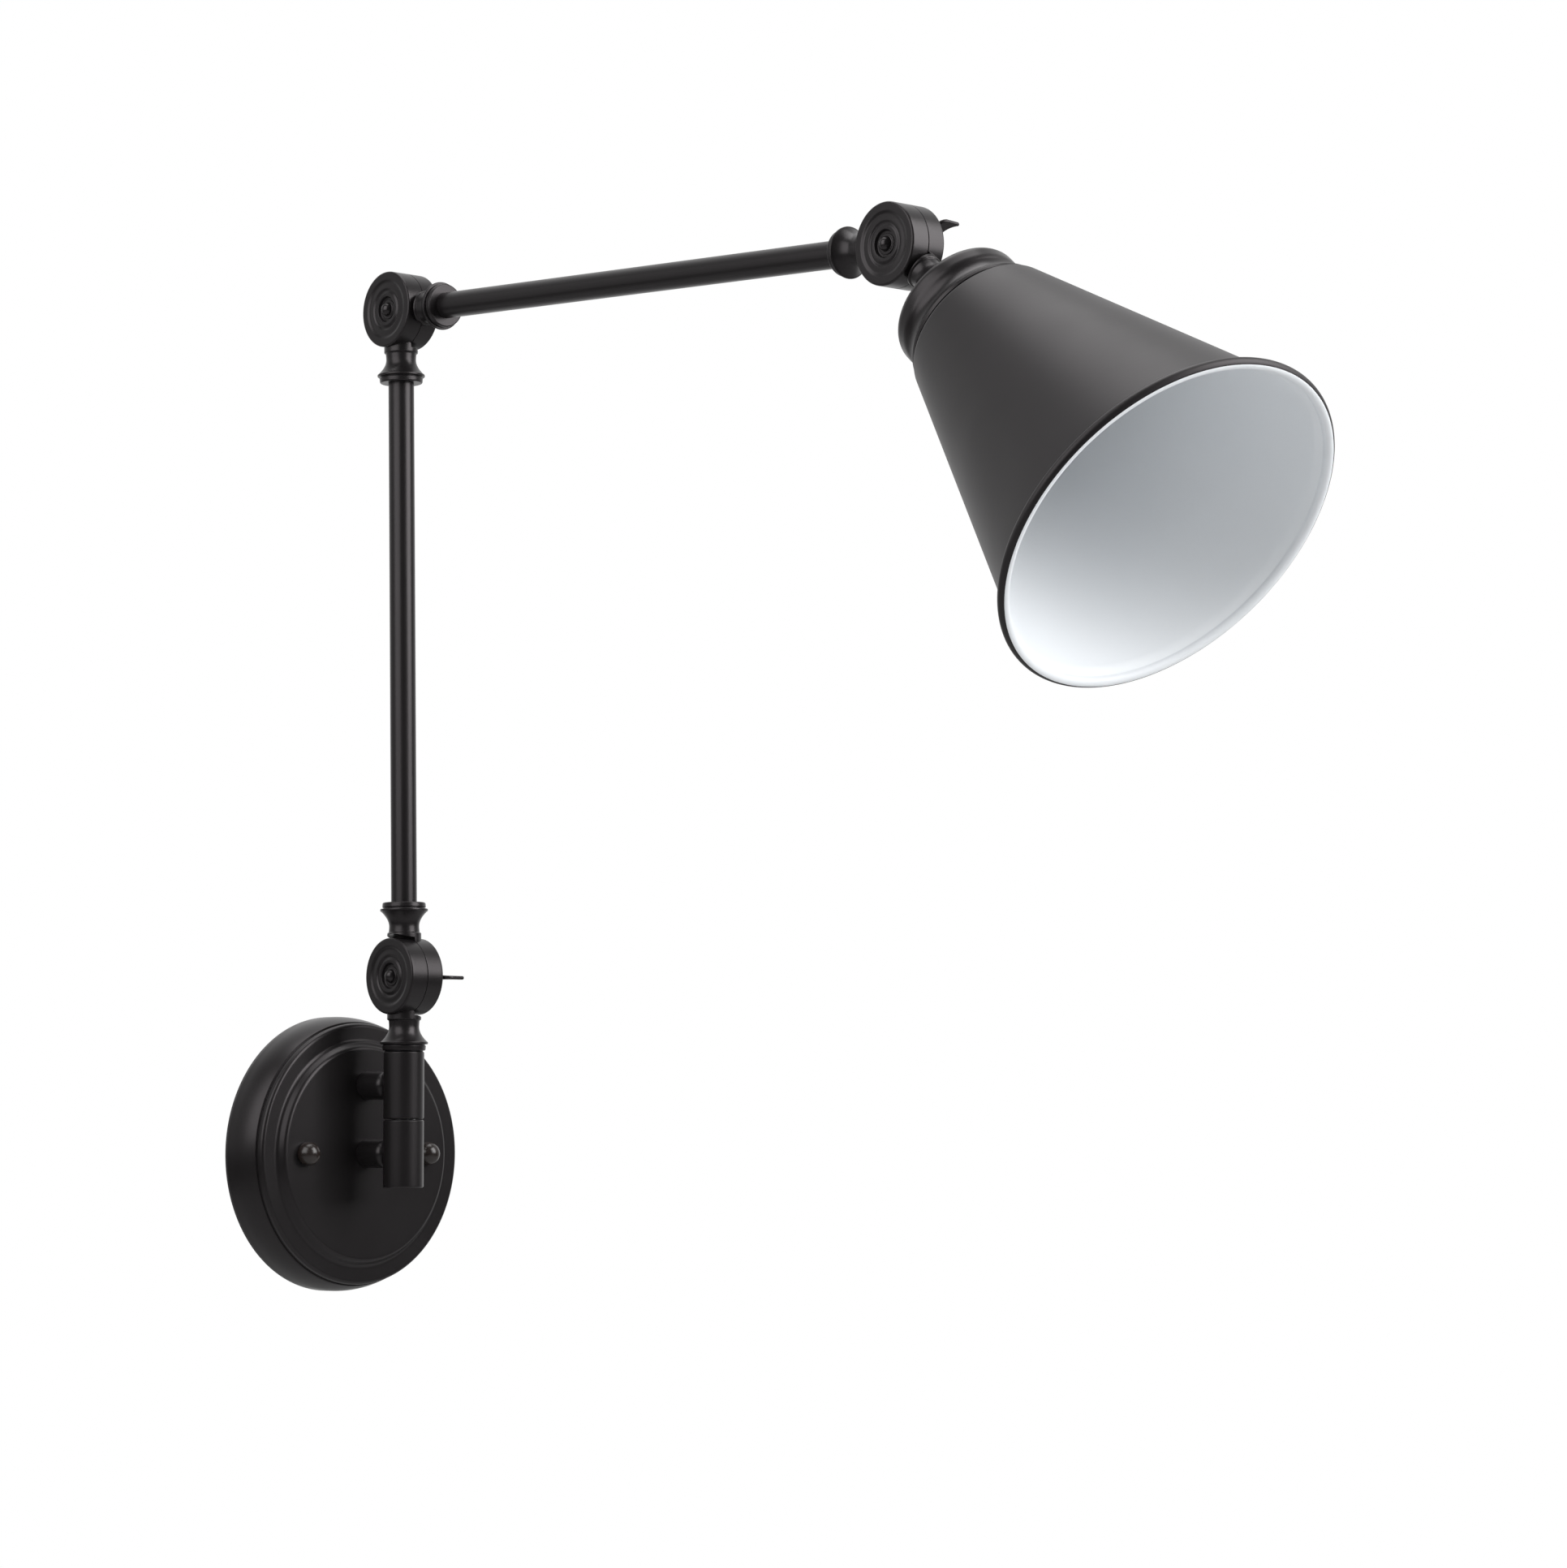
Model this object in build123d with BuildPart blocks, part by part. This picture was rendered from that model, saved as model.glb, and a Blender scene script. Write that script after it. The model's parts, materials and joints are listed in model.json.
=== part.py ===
from build123d import *
import os
from math import cos, radians, sin, sqrt

os.makedirs("parts", exist_ok=True)

# The lamp stands in the frame of its wall plate: the origin is the plate's centre on the wall,
# +X points out of the wall and +Z up. All lengths are in millimetres, all angles in degrees.

# The pose that it is built in
swivel_turn = -4.6  # arm plane, turned about the pivot from square to the wall
lower_lean = 1.05  # lower arm, back from upright
upper_lean = 2.76  # upper arm, below level
head_tilt = 49.0  # shade, forward from hanging straight down
base_nut_angle = -2.0  # wings of each clamping nut, above level
elbow_nut_angle = -3.0
head_nut_angle = 38.0

# Canopy on the wall: a rounded side, a raised ring and a raised disc
canopy_r = 60.0
canopy_skirt = 5.0  # straight part of the side, next to the wall
canopy_side_depth = 17.4  # wall to the end of the rounded side
canopy_side_round = 2.6  # how far the rounded side comes in
canopy_ring_r = 56.9
canopy_ring_depth = 20.8  # wall to the raised ring
canopy_edge_round = 0.6
canopy_disc_r = 46.3
canopy_disc_depth = 24.2  # wall to the raised disc
canopy_cove = 2.6  # width of the cove round the disc
canopy_wall = 1.2

# Bracket, studs and cap nuts
bracket_t = 2.5
bracket_width = 18.0
bracket_height = 104.0
bracket_span = 86.0
bracket_corner_r = 3.0
wire_hole_r = 6.0
wall_screw_spacing = 79.4
wall_slot_length = 14.3
wall_slot_r = 2.4
stud_spacing = 70.0
stud_r = 2.0
stud_hole_clearance = 0.4
stud_nut_flats = 7.0
stud_nut_t = 3.0
thread_clearance = 0.05
cap_ball_r = 5.1
cap_height = 7.0
cap_thread_depth = 5.0
stud_reach = 4.6  # how far a stud reaches into its cap nut
ground_screw_height = 22.0
ground_screw_r = 2.0
ground_head_r = 4.0
ground_head_t = 2.6
ground_slot = 0.9
ground_slot_depth = 1.3

# Posts and the stiffener that carries them
post_r = 6.15
post_stub_r = 4.0
post_stub_length = 9.0
post_bore_r = 2.5
post_fit = 0.02  # between a post's saddle and its sleeve
stiffener_t = 2.0
stiffener_width = 24.0
stiffener_margin = 11.5  # from a post's centre to the plate's end
locknut_flats = 13.0
locknut_t = 4.0

# Pivot: two sleeves, their bushes and a hollow spindle
pivot_offset = 48.0  # pivot axis from the wall
sleeve_r = 8.8
sleeve_length = 29.3
sleeve_gap = 0.3
sleeve_bore_r = 6.5
sleeve_edge = 0.5
nut_room_r = 7.6
nut_room_depth = 8.0
end_cap_t = 2.4
bush_length = 10.0
press_clearance = 0.03
running_clearance = 0.05
stem_r = 4.95  # threaded stems: the spindle and the head's nipple
stem_bore_r = 3.4
spindle_tail = 3.2  # from the spindle's end to the lower sleeve's
spindle_window = 6.5
ring_nut_t = 3.2
ring_nut_r = 6.9
ring_nut_notch = 1.6
spindle_washer_t = 0.8
thrust_washer_t = 0.3
thrust_washer_r = 8.2

# Knuckles: two round halves on a bolt, each with a turned neck
knuckle_r = 16.6
knuckle_t = 17.2
split_gap = 0.6
edge_round = 0.9
edge_chamfer = 0.5
dish_r = 12.4
dish_depth = 0.9
dish_slope = 0.6
dish_fall = 0.35  # how much deeper the dish is at its middle
seat_r = 6.8
seat_depth = 1.8
chamber_r = 12.4
chamber_depth = 3.6
hub_r = 6.4
bolt_r = 3.0
dome_r = 4.2
dome_rim = 0.6
washer_margin = 0.3
nut_washer_t = 1.2

# Necks, measured along the neck from the knuckle's centre
neck_root = 13.2
neck_bead_r = 7.5
neck_bead_end = 18.7
neck_bead_round = 0.4
neck_waist = 22.6
neck_waist_r = 7.0
neck_flare_end = 28.1
neck_flare_r = 9.5
neck_collar_r = 10.3
neck_collar_end = 29.3
neck_groove_r = 8.6
neck_groove_end = 29.9
neck_ring_r = 9.3
neck_length = 32.1
neck_edge = 0.3
neck_clearance = 0.4  # to the other half's edge
wire_r = 2.6
tube_socket = 8.0
stem_socket = 10.0

# Arms
lower_length = 292.5  # between knuckle centres
upper_length = 317.3
tube_r = 5.6
tube_wall = 0.9

# Wing nuts
nut_hub_r = 5.0
nut_hub_top_r = 4.2
nut_hub_height = 7.0
wing_reach = 16.6
wing_height = 12.4
wing_t = 1.7
wing_root = 1.6  # height of a wing's lower edge
wing_heel = 12.6  # where the lower edge turns up
wing_heel_height = 6.4  # where it has turned upright
wing_tip = 1.5  # width at the tip
wing_tip_lean = 0.4
wing_sink = 0.5  # how far the wings reach into the hub
bolt_end = 1.4  # how far a bolt stands out of its nut

# Cup over the lampholder, measured along the head from the head knuckle's centre
cup_wall = 1.2
cup_top_r = 10.8
cup_crown = 35.0
cup_crown_r = 14.9
cup_shoulder = 40.3
cup_shoulder_r = 24.5
cup_step = 0.6
cup_band = 44.2
cup_band_r = 27.4
cup_band_round = 3.6
cup_band_end = 47.2
cup_waist = 52.0
cup_waist_r = 26.6
cup_flare = 58.0
cup_flare_r = 29.7
cup_rim_r = 30.4
cup_rim_start = 58.8
cup_length = 60.4
cup_locknut_t = 3.0
cup_locknut_flats = 14.0

# Lampholder for a screw base lamp
holder_boss_r = 9.0
holder_boss_length = 7.0
nipple_reach = 6.0  # how far the nipple reaches into the boss
nipple_end_gap = 0.4
holder_r = 19.5
holder_flange_r = 22.8
holder_flange_t = 3.0
holder_skirt = 30.0
holder_floor = 9.0
contact_room_r = 9.5
contact_room = 5.0
shell_r = 13.25  # inside of the screw shell
shell_wall = 0.6
shell_length = 32.0
shell_opening_r = 7.0
contact_base_r = 3.6
contact_base_t = 0.9
contact_r = 2.4
contact_height = 2.2
shade_ring_t = 4.2
shade_ring_r = 25.2
shade_ring_notch_r = 1.2
shade_ring_notches = 12

# Shade: a spun cone with a shoulder, a flared lip and a rolled rim
shade_wall = 1.0
shade_gap = 0.3  # cup's rim to the shade
shade_hole_clearance = 0.3
shade_top_r = 31.6  # where the cone would meet the top
shade_shoulder_round = 3.4
shade_length = 124.5  # from its top to the lip
shade_mouth_r = 68.7
shade_lip = 3.2
shade_lip_flare = 2.9
shade_lip_round = 12.0
shade_bead_r = 2.2

# Places and directions that follow
half_t = knuckle_t / 2
split = split_gap / 2
seat_height = half_t - seat_depth
nut_base = seat_height + nut_washer_t + running_clearance
bolt_reach = nut_base + nut_hub_height + bolt_end
lower_sleeve_z = -sleeve_length / 2
upper_sleeve_z = sleeve_length / 2 + sleeve_gap
sleeve_top = upper_sleeve_z + sleeve_length
post_pitch = sleeve_length + sleeve_gap
neck_foot = sleeve_top + thrust_washer_t + 2 * running_clearance

up = Vector(0, 0, 1)
out_of_wall = Vector(1, 0, 0)
arm_out = Vector(cos(radians(swivel_turn)), sin(radians(swivel_turn)), 0)
knuckle_back = Vector(-sin(radians(swivel_turn)), cos(radians(swivel_turn)), 0)
knuckle_face = knuckle_back * -1


def in_arm_plane(angle):
    """A direction in the arm's upright plane, at an angle above level."""
    return arm_out * cos(radians(angle)) + up * sin(radians(angle))


lower_way = in_arm_plane(90 + lower_lean)
upper_way = in_arm_plane(-upper_lean)
head_way = in_arm_plane(head_tilt - 90)
pivot_foot = Vector(pivot_offset, 0, 0)
base_centre = pivot_foot + up * (neck_foot + neck_length)
elbow_centre = base_centre + lower_way * lower_length
head_centre = elbow_centre + upper_way * upper_length
stud_places = [(-stud_spacing / 2, 0), (stud_spacing / 2, 0)]
post_places = [(0, 0), (0, post_pitch)]
disc_back = canopy_disc_depth - canopy_wall
stiffener_back = disc_back - stiffener_t
head_axis = Axis(head_centre, head_way)


def keep(piece, name):
    """Label a finished piece and write it."""
    piece.part.label = name
    export_step(piece.part, f"parts/{name}.step")


def section_along(origin, way, side):
    """A plane whose x runs along an axis and whose y is the radius towards a side."""
    return Plane(origin=origin, x_dir=way, z_dir=way.cross(side))


def section_across(origin, way, side):
    """A plane whose x is the radius towards a side and whose y runs along an axis."""
    return Plane(origin=origin, x_dir=side, z_dir=side.cross(way))


def ring(plane, inner, outer, thickness):
    """A flat ring that stands on a plane."""
    with BuildPart() as piece:
        with BuildSketch(plane):
            Circle(outer)
            Circle(inner, mode=Mode.SUBTRACT)
        extrude(amount=thickness)
    return piece


def hex_nuts(plane, places, flats, thread_r, thickness):
    """Hexagon nuts that stand on a plane."""
    with BuildPart() as piece:
        with BuildSketch(plane):
            with Locations(*places):
                RegularPolygon(flats / 2, 6, major_radius=False)
                Circle(thread_r + thread_clearance, mode=Mode.SUBTRACT)
        extrude(amount=thickness)
    return piece


# Canopy: one pressed shell, its outline offset inwards by the wall
head_section = section_along(head_centre, head_way, knuckle_back)
canopy_front = Plane.YZ.offset(canopy_disc_depth)
side_end_r = canopy_r - canopy_side_round
ring_edge = canopy_ring_depth - canopy_edge_round
ring_rim_r = canopy_ring_r - canopy_edge_round
with BuildPart() as canopy:
    with BuildSketch(Plane.XZ):
        with BuildLine():
            Line((0, canopy_r), (canopy_skirt, canopy_r))
            TangentArc((canopy_skirt, canopy_r), (canopy_side_depth, side_end_r), tangent=(1, 0))
            Line((canopy_side_depth, side_end_r), (canopy_side_depth, canopy_ring_r))
            Line((canopy_side_depth, canopy_ring_r), (ring_edge, canopy_ring_r))
            RadiusArc((ring_edge, canopy_ring_r), (canopy_ring_depth, ring_rim_r), canopy_edge_round)
            Line((canopy_ring_depth, ring_rim_r), (canopy_ring_depth, canopy_disc_r + canopy_cove))
            TangentArc(
                (canopy_ring_depth, canopy_disc_r + canopy_cove),
                (canopy_disc_depth, canopy_disc_r),
                tangent=(0, -1),
            )
            Line((canopy_disc_depth, canopy_disc_r), (canopy_disc_depth, 0))
            offset(amount=canopy_wall, side=Side.RIGHT)
        make_face()
    revolve(axis=Axis.X)
    with BuildSketch(canopy_front):
        with Locations(*post_places):
            Circle(post_stub_r + thread_clearance)
        with Locations(*stud_places):
            Circle(stud_r + stud_hole_clearance)
    extrude(amount=-2 * canopy_wall, mode=Mode.SUBTRACT)
keep(canopy, "canopy")

# Bracket: a flat cross with slots for the wall screws
with BuildPart() as mounting_bracket:
    with BuildSketch(Plane.YZ) as bracket_outline:
        Rectangle(bracket_width, bracket_height)
        Rectangle(bracket_span, bracket_width)
        fillet(bracket_outline.vertices(), bracket_corner_r)
        Circle(wire_hole_r, mode=Mode.SUBTRACT)
        with GridLocations(0, wall_screw_spacing, 1, 2):
            SlotOverall(wall_slot_length, 2 * wall_slot_r, rotation=90, mode=Mode.SUBTRACT)
        with Locations(*stud_places):
            Circle(stud_r + thread_clearance, mode=Mode.SUBTRACT)
        with Locations((0, ground_screw_height)):
            Circle(ground_screw_r + thread_clearance, mode=Mode.SUBTRACT)
    extrude(amount=bracket_t)
keep(mounting_bracket, "mounting_bracket")

with BuildPart() as mounting_studs:
    with BuildSketch(Plane.YZ):
        with Locations(*stud_places):
            Circle(stud_r)
    extrude(amount=canopy_disc_depth + stud_reach)
keep(mounting_studs, "mounting_studs")

bracket_front = Plane.YZ.offset(bracket_t)
stud_nuts = hex_nuts(bracket_front, stud_places, stud_nut_flats, stud_r, stud_nut_t)
keep(stud_nuts, "stud_nuts")

# Cap nuts: balls that are cut flat where they sit on the canopy
ball_drop = cap_height - cap_ball_r
ball_foot_r = sqrt(cap_ball_r**2 - ball_drop**2)
with BuildPart() as cap_nuts:
    for place_y, _ in stud_places:
        ball_foot = Vector(canopy_disc_depth, place_y, 0)
        with BuildSketch(section_along(ball_foot, out_of_wall, up)):
            with BuildLine():
                ThreePointArc((0, ball_foot_r), (ball_drop, cap_ball_r), (cap_height, 0))
                Polyline((cap_height, 0), (0, 0), (0, ball_foot_r))
            make_face()
        revolve(axis=Axis(ball_foot, out_of_wall))
    with BuildSketch(canopy_front):
        with Locations(*stud_places):
            Circle(stud_r + thread_clearance)
    extrude(amount=cap_thread_depth, mode=Mode.SUBTRACT)
keep(cap_nuts, "cap_nuts")

with BuildPart() as ground_screw:
    with BuildSketch(bracket_front):
        with Locations((0, ground_screw_height)):
            Circle(ground_head_r)
    extrude(amount=ground_head_t)
    with BuildSketch(bracket_front.offset(ground_head_t)):
        with Locations((0, ground_screw_height)):
            Rectangle(2 * ground_head_r, ground_slot)
    extrude(amount=-ground_slot_depth, mode=Mode.SUBTRACT)
    with BuildSketch(bracket_front):
        with Locations((0, ground_screw_height)):
            Circle(ground_screw_r)
    extrude(amount=-bracket_t)
keep(ground_screw, "ground_screw")

# Stiffener behind the canopy's disc, and the nuts that clamp it with the posts
with BuildPart() as stiffener_plate:
    with BuildSketch(Plane.YZ.offset(stiffener_back)):
        with Locations((0, post_pitch / 2)):
            RectangleRounded(stiffener_width, post_pitch + 2 * stiffener_margin, bracket_corner_r)
        with Locations(*post_places):
            Circle(post_stub_r + thread_clearance, mode=Mode.SUBTRACT)
    extrude(amount=stiffener_t)
keep(stiffener_plate, "stiffener_plate")

locknut_plane = Plane.YZ.offset(stiffener_back - locknut_t)
post_locknuts = hex_nuts(locknut_plane, post_places, locknut_flats, post_stub_r, locknut_t)
keep(post_locknuts, "post_locknuts")


def post(height, bore_r):
    """A post from the canopy to its sleeve, with a threaded stub behind and a saddle in front."""
    with BuildPart() as piece:
        with BuildSketch(canopy_front):
            with Locations((0, height)):
                Circle(post_r)
        extrude(amount=pivot_offset - canopy_disc_depth)
        with BuildSketch(canopy_front):
            with Locations((0, height)):
                Circle(post_stub_r)
        extrude(amount=-post_stub_length)
        with BuildSketch(Plane(pivot_foot + up * (height - 2 * post_r))):
            Circle(sleeve_r + post_fit)
        extrude(amount=4 * post_r, mode=Mode.SUBTRACT)
        if bore_r > 0:
            with BuildSketch(canopy_front.offset(-post_stub_length)):
                with Locations((0, height)):
                    Circle(bore_r)
            extrude(amount=pivot_offset, mode=Mode.SUBTRACT)
    return piece


lower_post = post(0, post_bore_r)
keep(lower_post, "lower_post")
upper_post = post(post_pitch, 0)
keep(upper_post, "upper_post")


def sleeve(foot_z):
    """A sleeve of the pivot, chamfered outside at both ends."""
    with BuildPart() as piece:
        with BuildSketch(Plane(pivot_foot + up * foot_z)):
            Circle(sleeve_r)
            Circle(sleeve_bore_r, mode=Mode.SUBTRACT)
        extrude(amount=sleeve_length)
        chamfer(piece.edges().filter_by(GeomType.CIRCLE).sort_by(SortBy.RADIUS)[-2:], sleeve_edge)
    return piece


upper_sleeve = sleeve(upper_sleeve_z)
keep(upper_sleeve, "upper_sleeve")

# The lower sleeve has room for the ring nut and a hole for the wires from its post
with BuildPart() as lower_sleeve:
    add(sleeve(lower_sleeve_z))
    with BuildSketch(Plane(pivot_foot + up * lower_sleeve_z)):
        Circle(nut_room_r)
    extrude(amount=nut_room_depth, mode=Mode.SUBTRACT)
    with BuildSketch(Plane.YZ.offset(pivot_offset - 2 * sleeve_r)):
        Circle(post_bore_r)
    extrude(amount=2 * sleeve_r, mode=Mode.SUBTRACT)
keep(lower_sleeve, "lower_sleeve")

bush_inner_r = stem_r + running_clearance
bush_outer_r = sleeve_bore_r - press_clearance
lower_bush_z = lower_sleeve_z + nut_room_depth
upper_bush_plane = Plane(pivot_foot + up * (sleeve_top - bush_length))
upper_bush = ring(upper_bush_plane, bush_inner_r, bush_outer_r, bush_length)
keep(upper_bush, "upper_bush")
lower_bush = ring(Plane(pivot_foot + up * lower_bush_z), bush_inner_r, bush_outer_r, bush_length)
keep(lower_bush, "lower_bush")

with BuildPart() as sleeve_end_cap:
    with BuildSketch(Plane(pivot_foot + up * lower_sleeve_z)):
        Circle(nut_room_r - press_clearance)
    extrude(amount=end_cap_t)
keep(sleeve_end_cap, "sleeve_end_cap")

# Spindle: a threaded tube from the base knuckle's neck, open towards the wires in the lower post
spindle_end_z = lower_sleeve_z + spindle_tail
spindle_length = neck_foot + stem_socket - spindle_end_z
with BuildPart() as spindle:
    with BuildSketch(Plane(pivot_foot + up * spindle_end_z)):
        Circle(stem_r)
        Circle(stem_bore_r, mode=Mode.SUBTRACT)
    extrude(amount=spindle_length)
    with BuildSketch(Plane(pivot_foot + up * (-spindle_window / 2))):
        with Locations((-stem_r, 0)):
            Rectangle(2 * stem_r, 3 * stem_r)
    extrude(amount=spindle_window, mode=Mode.SUBTRACT)
keep(spindle, "spindle")

spindle_washer_z = lower_bush_z - running_clearance - spindle_washer_t
spindle_washer = ring(
    Plane(pivot_foot + up * spindle_washer_z), stem_r + running_clearance, ring_nut_r, spindle_washer_t
)
keep(spindle_washer, "spindle_washer")

with BuildPart() as spindle_ring_nut:
    with BuildSketch(Plane(pivot_foot + up * (spindle_washer_z - ring_nut_t))):
        Circle(ring_nut_r)
        Circle(stem_r + thread_clearance, mode=Mode.SUBTRACT)
        with PolarLocations(ring_nut_r, 4):
            Rectangle(ring_nut_notch, ring_nut_notch, mode=Mode.SUBTRACT)
    extrude(amount=ring_nut_t)
keep(spindle_ring_nut, "spindle_ring_nut")

thrust_plane = Plane(pivot_foot + up * (sleeve_top + running_clearance))
thrust_washer = ring(thrust_plane, stem_r + running_clearance, thrust_washer_r, thrust_washer_t)
keep(thrust_washer, "thrust_washer")


def knuckle_half(centre, way, outward, socket_r, socket_depth):
    """One half of a knuckle, on the outward side of the split, with a neck that leaves along way."""
    dish_floor = half_t - dish_depth
    with BuildPart() as half:
        with BuildSketch(section_across(centre, outward, way)):
            with BuildLine():
                Polyline(
                    (knuckle_r, half_t - edge_round),
                    (knuckle_r, split + edge_chamfer),
                    (knuckle_r - edge_chamfer, split),
                    (chamber_r, split),
                    (chamber_r, split + chamber_depth),
                    (hub_r, split + chamber_depth),
                    (hub_r, split),
                    (bolt_r + running_clearance, split),
                    (bolt_r + running_clearance, seat_height),
                    (seat_r, seat_height),
                    (seat_r, dish_floor - dish_fall),
                    (dish_r - dish_slope, dish_floor),
                    (dish_r, half_t),
                    (knuckle_r - edge_round, half_t),
                )
                RadiusArc((knuckle_r - edge_round, half_t), (knuckle_r, half_t - edge_round), edge_round)
            make_face()
        revolve(axis=Axis(centre, outward))
        with BuildSketch(section_along(centre, way, outward)):
            with BuildLine():
                Polyline(
                    (neck_root, 0),
                    (neck_root, neck_bead_r),
                    (neck_bead_end - neck_bead_round, neck_bead_r),
                    (neck_bead_end, neck_bead_r - neck_bead_round),
                )
                Spline(
                    (neck_bead_end, neck_bead_r - neck_bead_round),
                    (neck_waist, neck_waist_r),
                    (neck_flare_end, neck_flare_r),
                    tangents=((1, -0.1), (1, 0.9)),
                )
                Polyline(
                    (neck_flare_end, neck_flare_r),
                    (neck_flare_end + neck_edge, neck_collar_r),
                    (neck_collar_end - neck_edge, neck_collar_r),
                    (neck_collar_end, neck_collar_r - neck_edge),
                    (neck_collar_end, neck_groove_r),
                    (neck_groove_end, neck_groove_r),
                    (neck_groove_end, neck_ring_r - neck_edge),
                    (neck_groove_end + neck_edge, neck_ring_r),
                    (neck_length - neck_edge, neck_ring_r),
                    (neck_length, neck_ring_r - neck_edge),
                    (neck_length, 0),
                    (neck_root, 0),
                )
            make_face()
        revolve(axis=Axis(centre, way))
        with BuildSketch(Plane(origin=centre + outward * split, x_dir=way, z_dir=outward)):
            Circle(knuckle_r + neck_clearance)
        extrude(amount=-2 * neck_collar_r, mode=Mode.SUBTRACT)
        with BuildSketch(Plane(origin=centre + way * (hub_r + chamber_r) / 2, z_dir=way)):
            Circle(wire_r)
        extrude(amount=neck_length, mode=Mode.SUBTRACT)
        with BuildSketch(Plane(origin=centre + way * neck_length, z_dir=way)):
            Circle(socket_r)
        extrude(amount=-socket_depth, mode=Mode.SUBTRACT)
    return half


def carriage_bolt(centre):
    """A bolt with a domed head on the knuckle's face and its thread out of the back."""
    dome_foot = seat_height + dome_rim
    with BuildPart() as bolt:
        with BuildSketch(section_across(centre, knuckle_face, up)):
            with BuildLine():
                Polyline(
                    (0, dome_foot + dome_r),
                    (0, -bolt_reach),
                    (bolt_r, -bolt_reach),
                    (bolt_r, seat_height),
                    (dome_r, seat_height),
                    (dome_r, dome_foot),
                )
                RadiusArc((dome_r, dome_foot), (0, dome_foot + dome_r), -dome_r)
            make_face()
        revolve(axis=Axis(centre, knuckle_face))
    return bolt


def friction_washer(centre):
    """The washer between the hubs of a knuckle's halves."""
    hub_plane = Plane(origin=centre + knuckle_face * split, z_dir=knuckle_back)
    inner = bolt_r + running_clearance
    return ring(hub_plane, inner, hub_r - washer_margin, split_gap - running_clearance)


def nut_washer(centre):
    """The washer in the seat at the back of a knuckle."""
    seat_plane = Plane(origin=centre + knuckle_back * seat_height, z_dir=knuckle_back)
    return ring(seat_plane, bolt_r + running_clearance, seat_r - washer_margin, nut_washer_t)


def wing_nut(centre, angle):
    """A clamping nut with two wings, at the back of a knuckle."""
    foot = centre + knuckle_back * nut_base
    section = section_across(foot, knuckle_back, in_arm_plane(angle))
    nut_bore_r = bolt_r + thread_clearance
    tip_r = wing_tip / 2
    top_start = (wing_reach - wing_tip_lean - wing_tip, wing_height - tip_r)
    hub_shoulder = (nut_hub_top_r - wing_sink, nut_hub_height - wing_sink)
    with BuildPart() as nut:
        with BuildSketch(section):
            with BuildLine():
                Polyline(
                    (nut_bore_r, 0),
                    (nut_hub_r, 0),
                    (nut_hub_r, wing_root),
                    (nut_hub_top_r, nut_hub_height),
                    (nut_bore_r, nut_hub_height),
                    close=True,
                )
            make_face()
        revolve(axis=Axis(foot, knuckle_back))
        with BuildSketch(section):
            with BuildLine():
                Polyline(hub_shoulder, (nut_hub_top_r - wing_sink, wing_root), (wing_heel, wing_root))
                TangentArc((wing_heel, wing_root), (wing_reach, wing_heel_height), tangent=(1, 0))
                Line((wing_reach, wing_heel_height), (wing_reach - wing_tip_lean, wing_height - tip_r))
                ThreePointArc(
                    (wing_reach - wing_tip_lean, wing_height - tip_r),
                    (wing_reach - wing_tip_lean - tip_r, wing_height),
                    top_start,
                )
                Spline(top_start, hub_shoulder, tangents=((-0.35, -1), (-1, -0.1)))
            make_face()
            mirror(about=Plane.YZ)
        extrude(amount=wing_t / 2, both=True)
    return nut


stem_socket_r = stem_r + thread_clearance
tube_socket_r = tube_r + running_clearance
base_knuckle_front = knuckle_half(base_centre, up * -1, knuckle_face, stem_socket_r, stem_socket)
keep(base_knuckle_front, "base_knuckle_front")
base_knuckle_rear = knuckle_half(base_centre, lower_way, knuckle_back, tube_socket_r, tube_socket)
keep(base_knuckle_rear, "base_knuckle_rear")
elbow_knuckle_front = knuckle_half(elbow_centre, lower_way * -1, knuckle_face, tube_socket_r, tube_socket)
keep(elbow_knuckle_front, "elbow_knuckle_front")
elbow_knuckle_rear = knuckle_half(elbow_centre, upper_way, knuckle_back, tube_socket_r, tube_socket)
keep(elbow_knuckle_rear, "elbow_knuckle_rear")
head_knuckle_front = knuckle_half(head_centre, upper_way * -1, knuckle_face, tube_socket_r, tube_socket)
keep(head_knuckle_front, "head_knuckle_front")
head_knuckle_rear = knuckle_half(head_centre, head_way, knuckle_back, stem_socket_r, stem_socket)
keep(head_knuckle_rear, "head_knuckle_rear")

knuckles = {
    "base": (base_centre, base_nut_angle),
    "elbow": (elbow_centre, elbow_nut_angle),
    "head": (head_centre, head_nut_angle),
}
for place, (centre, nut_angle) in knuckles.items():
    keep(carriage_bolt(centre), f"{place}_bolt")
    keep(friction_washer(centre), f"{place}_friction_washer")
    keep(nut_washer(centre), f"{place}_nut_washer")
    keep(wing_nut(centre, nut_angle), f"{place}_wing_nut")

# Tubes, from socket to socket
tube_start = neck_length - tube_socket
tube_bore_r = tube_r - tube_wall
lower_plane = Plane(origin=base_centre + lower_way * tube_start, z_dir=lower_way)
lower_tube = ring(lower_plane, tube_bore_r, tube_r, lower_length - 2 * tube_start)
keep(lower_tube, "lower_tube")
upper_plane = Plane(origin=elbow_centre + upper_way * tube_start, z_dir=upper_way)
upper_tube = ring(upper_plane, tube_bore_r, tube_r, upper_length - 2 * tube_start)
keep(upper_tube, "upper_tube")

# Head: a nipple holds the cup and the lampholder on the head knuckle's neck
nipple_start = neck_length - stem_socket
locknut_start = neck_length + cup_wall
holder_start = locknut_start + cup_locknut_t
nipple_plane = Plane(origin=head_centre + head_way * nipple_start, z_dir=head_way)
nipple = ring(nipple_plane, stem_bore_r, stem_r, holder_start + nipple_reach - nipple_start)
keep(nipple, "nipple")

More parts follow.
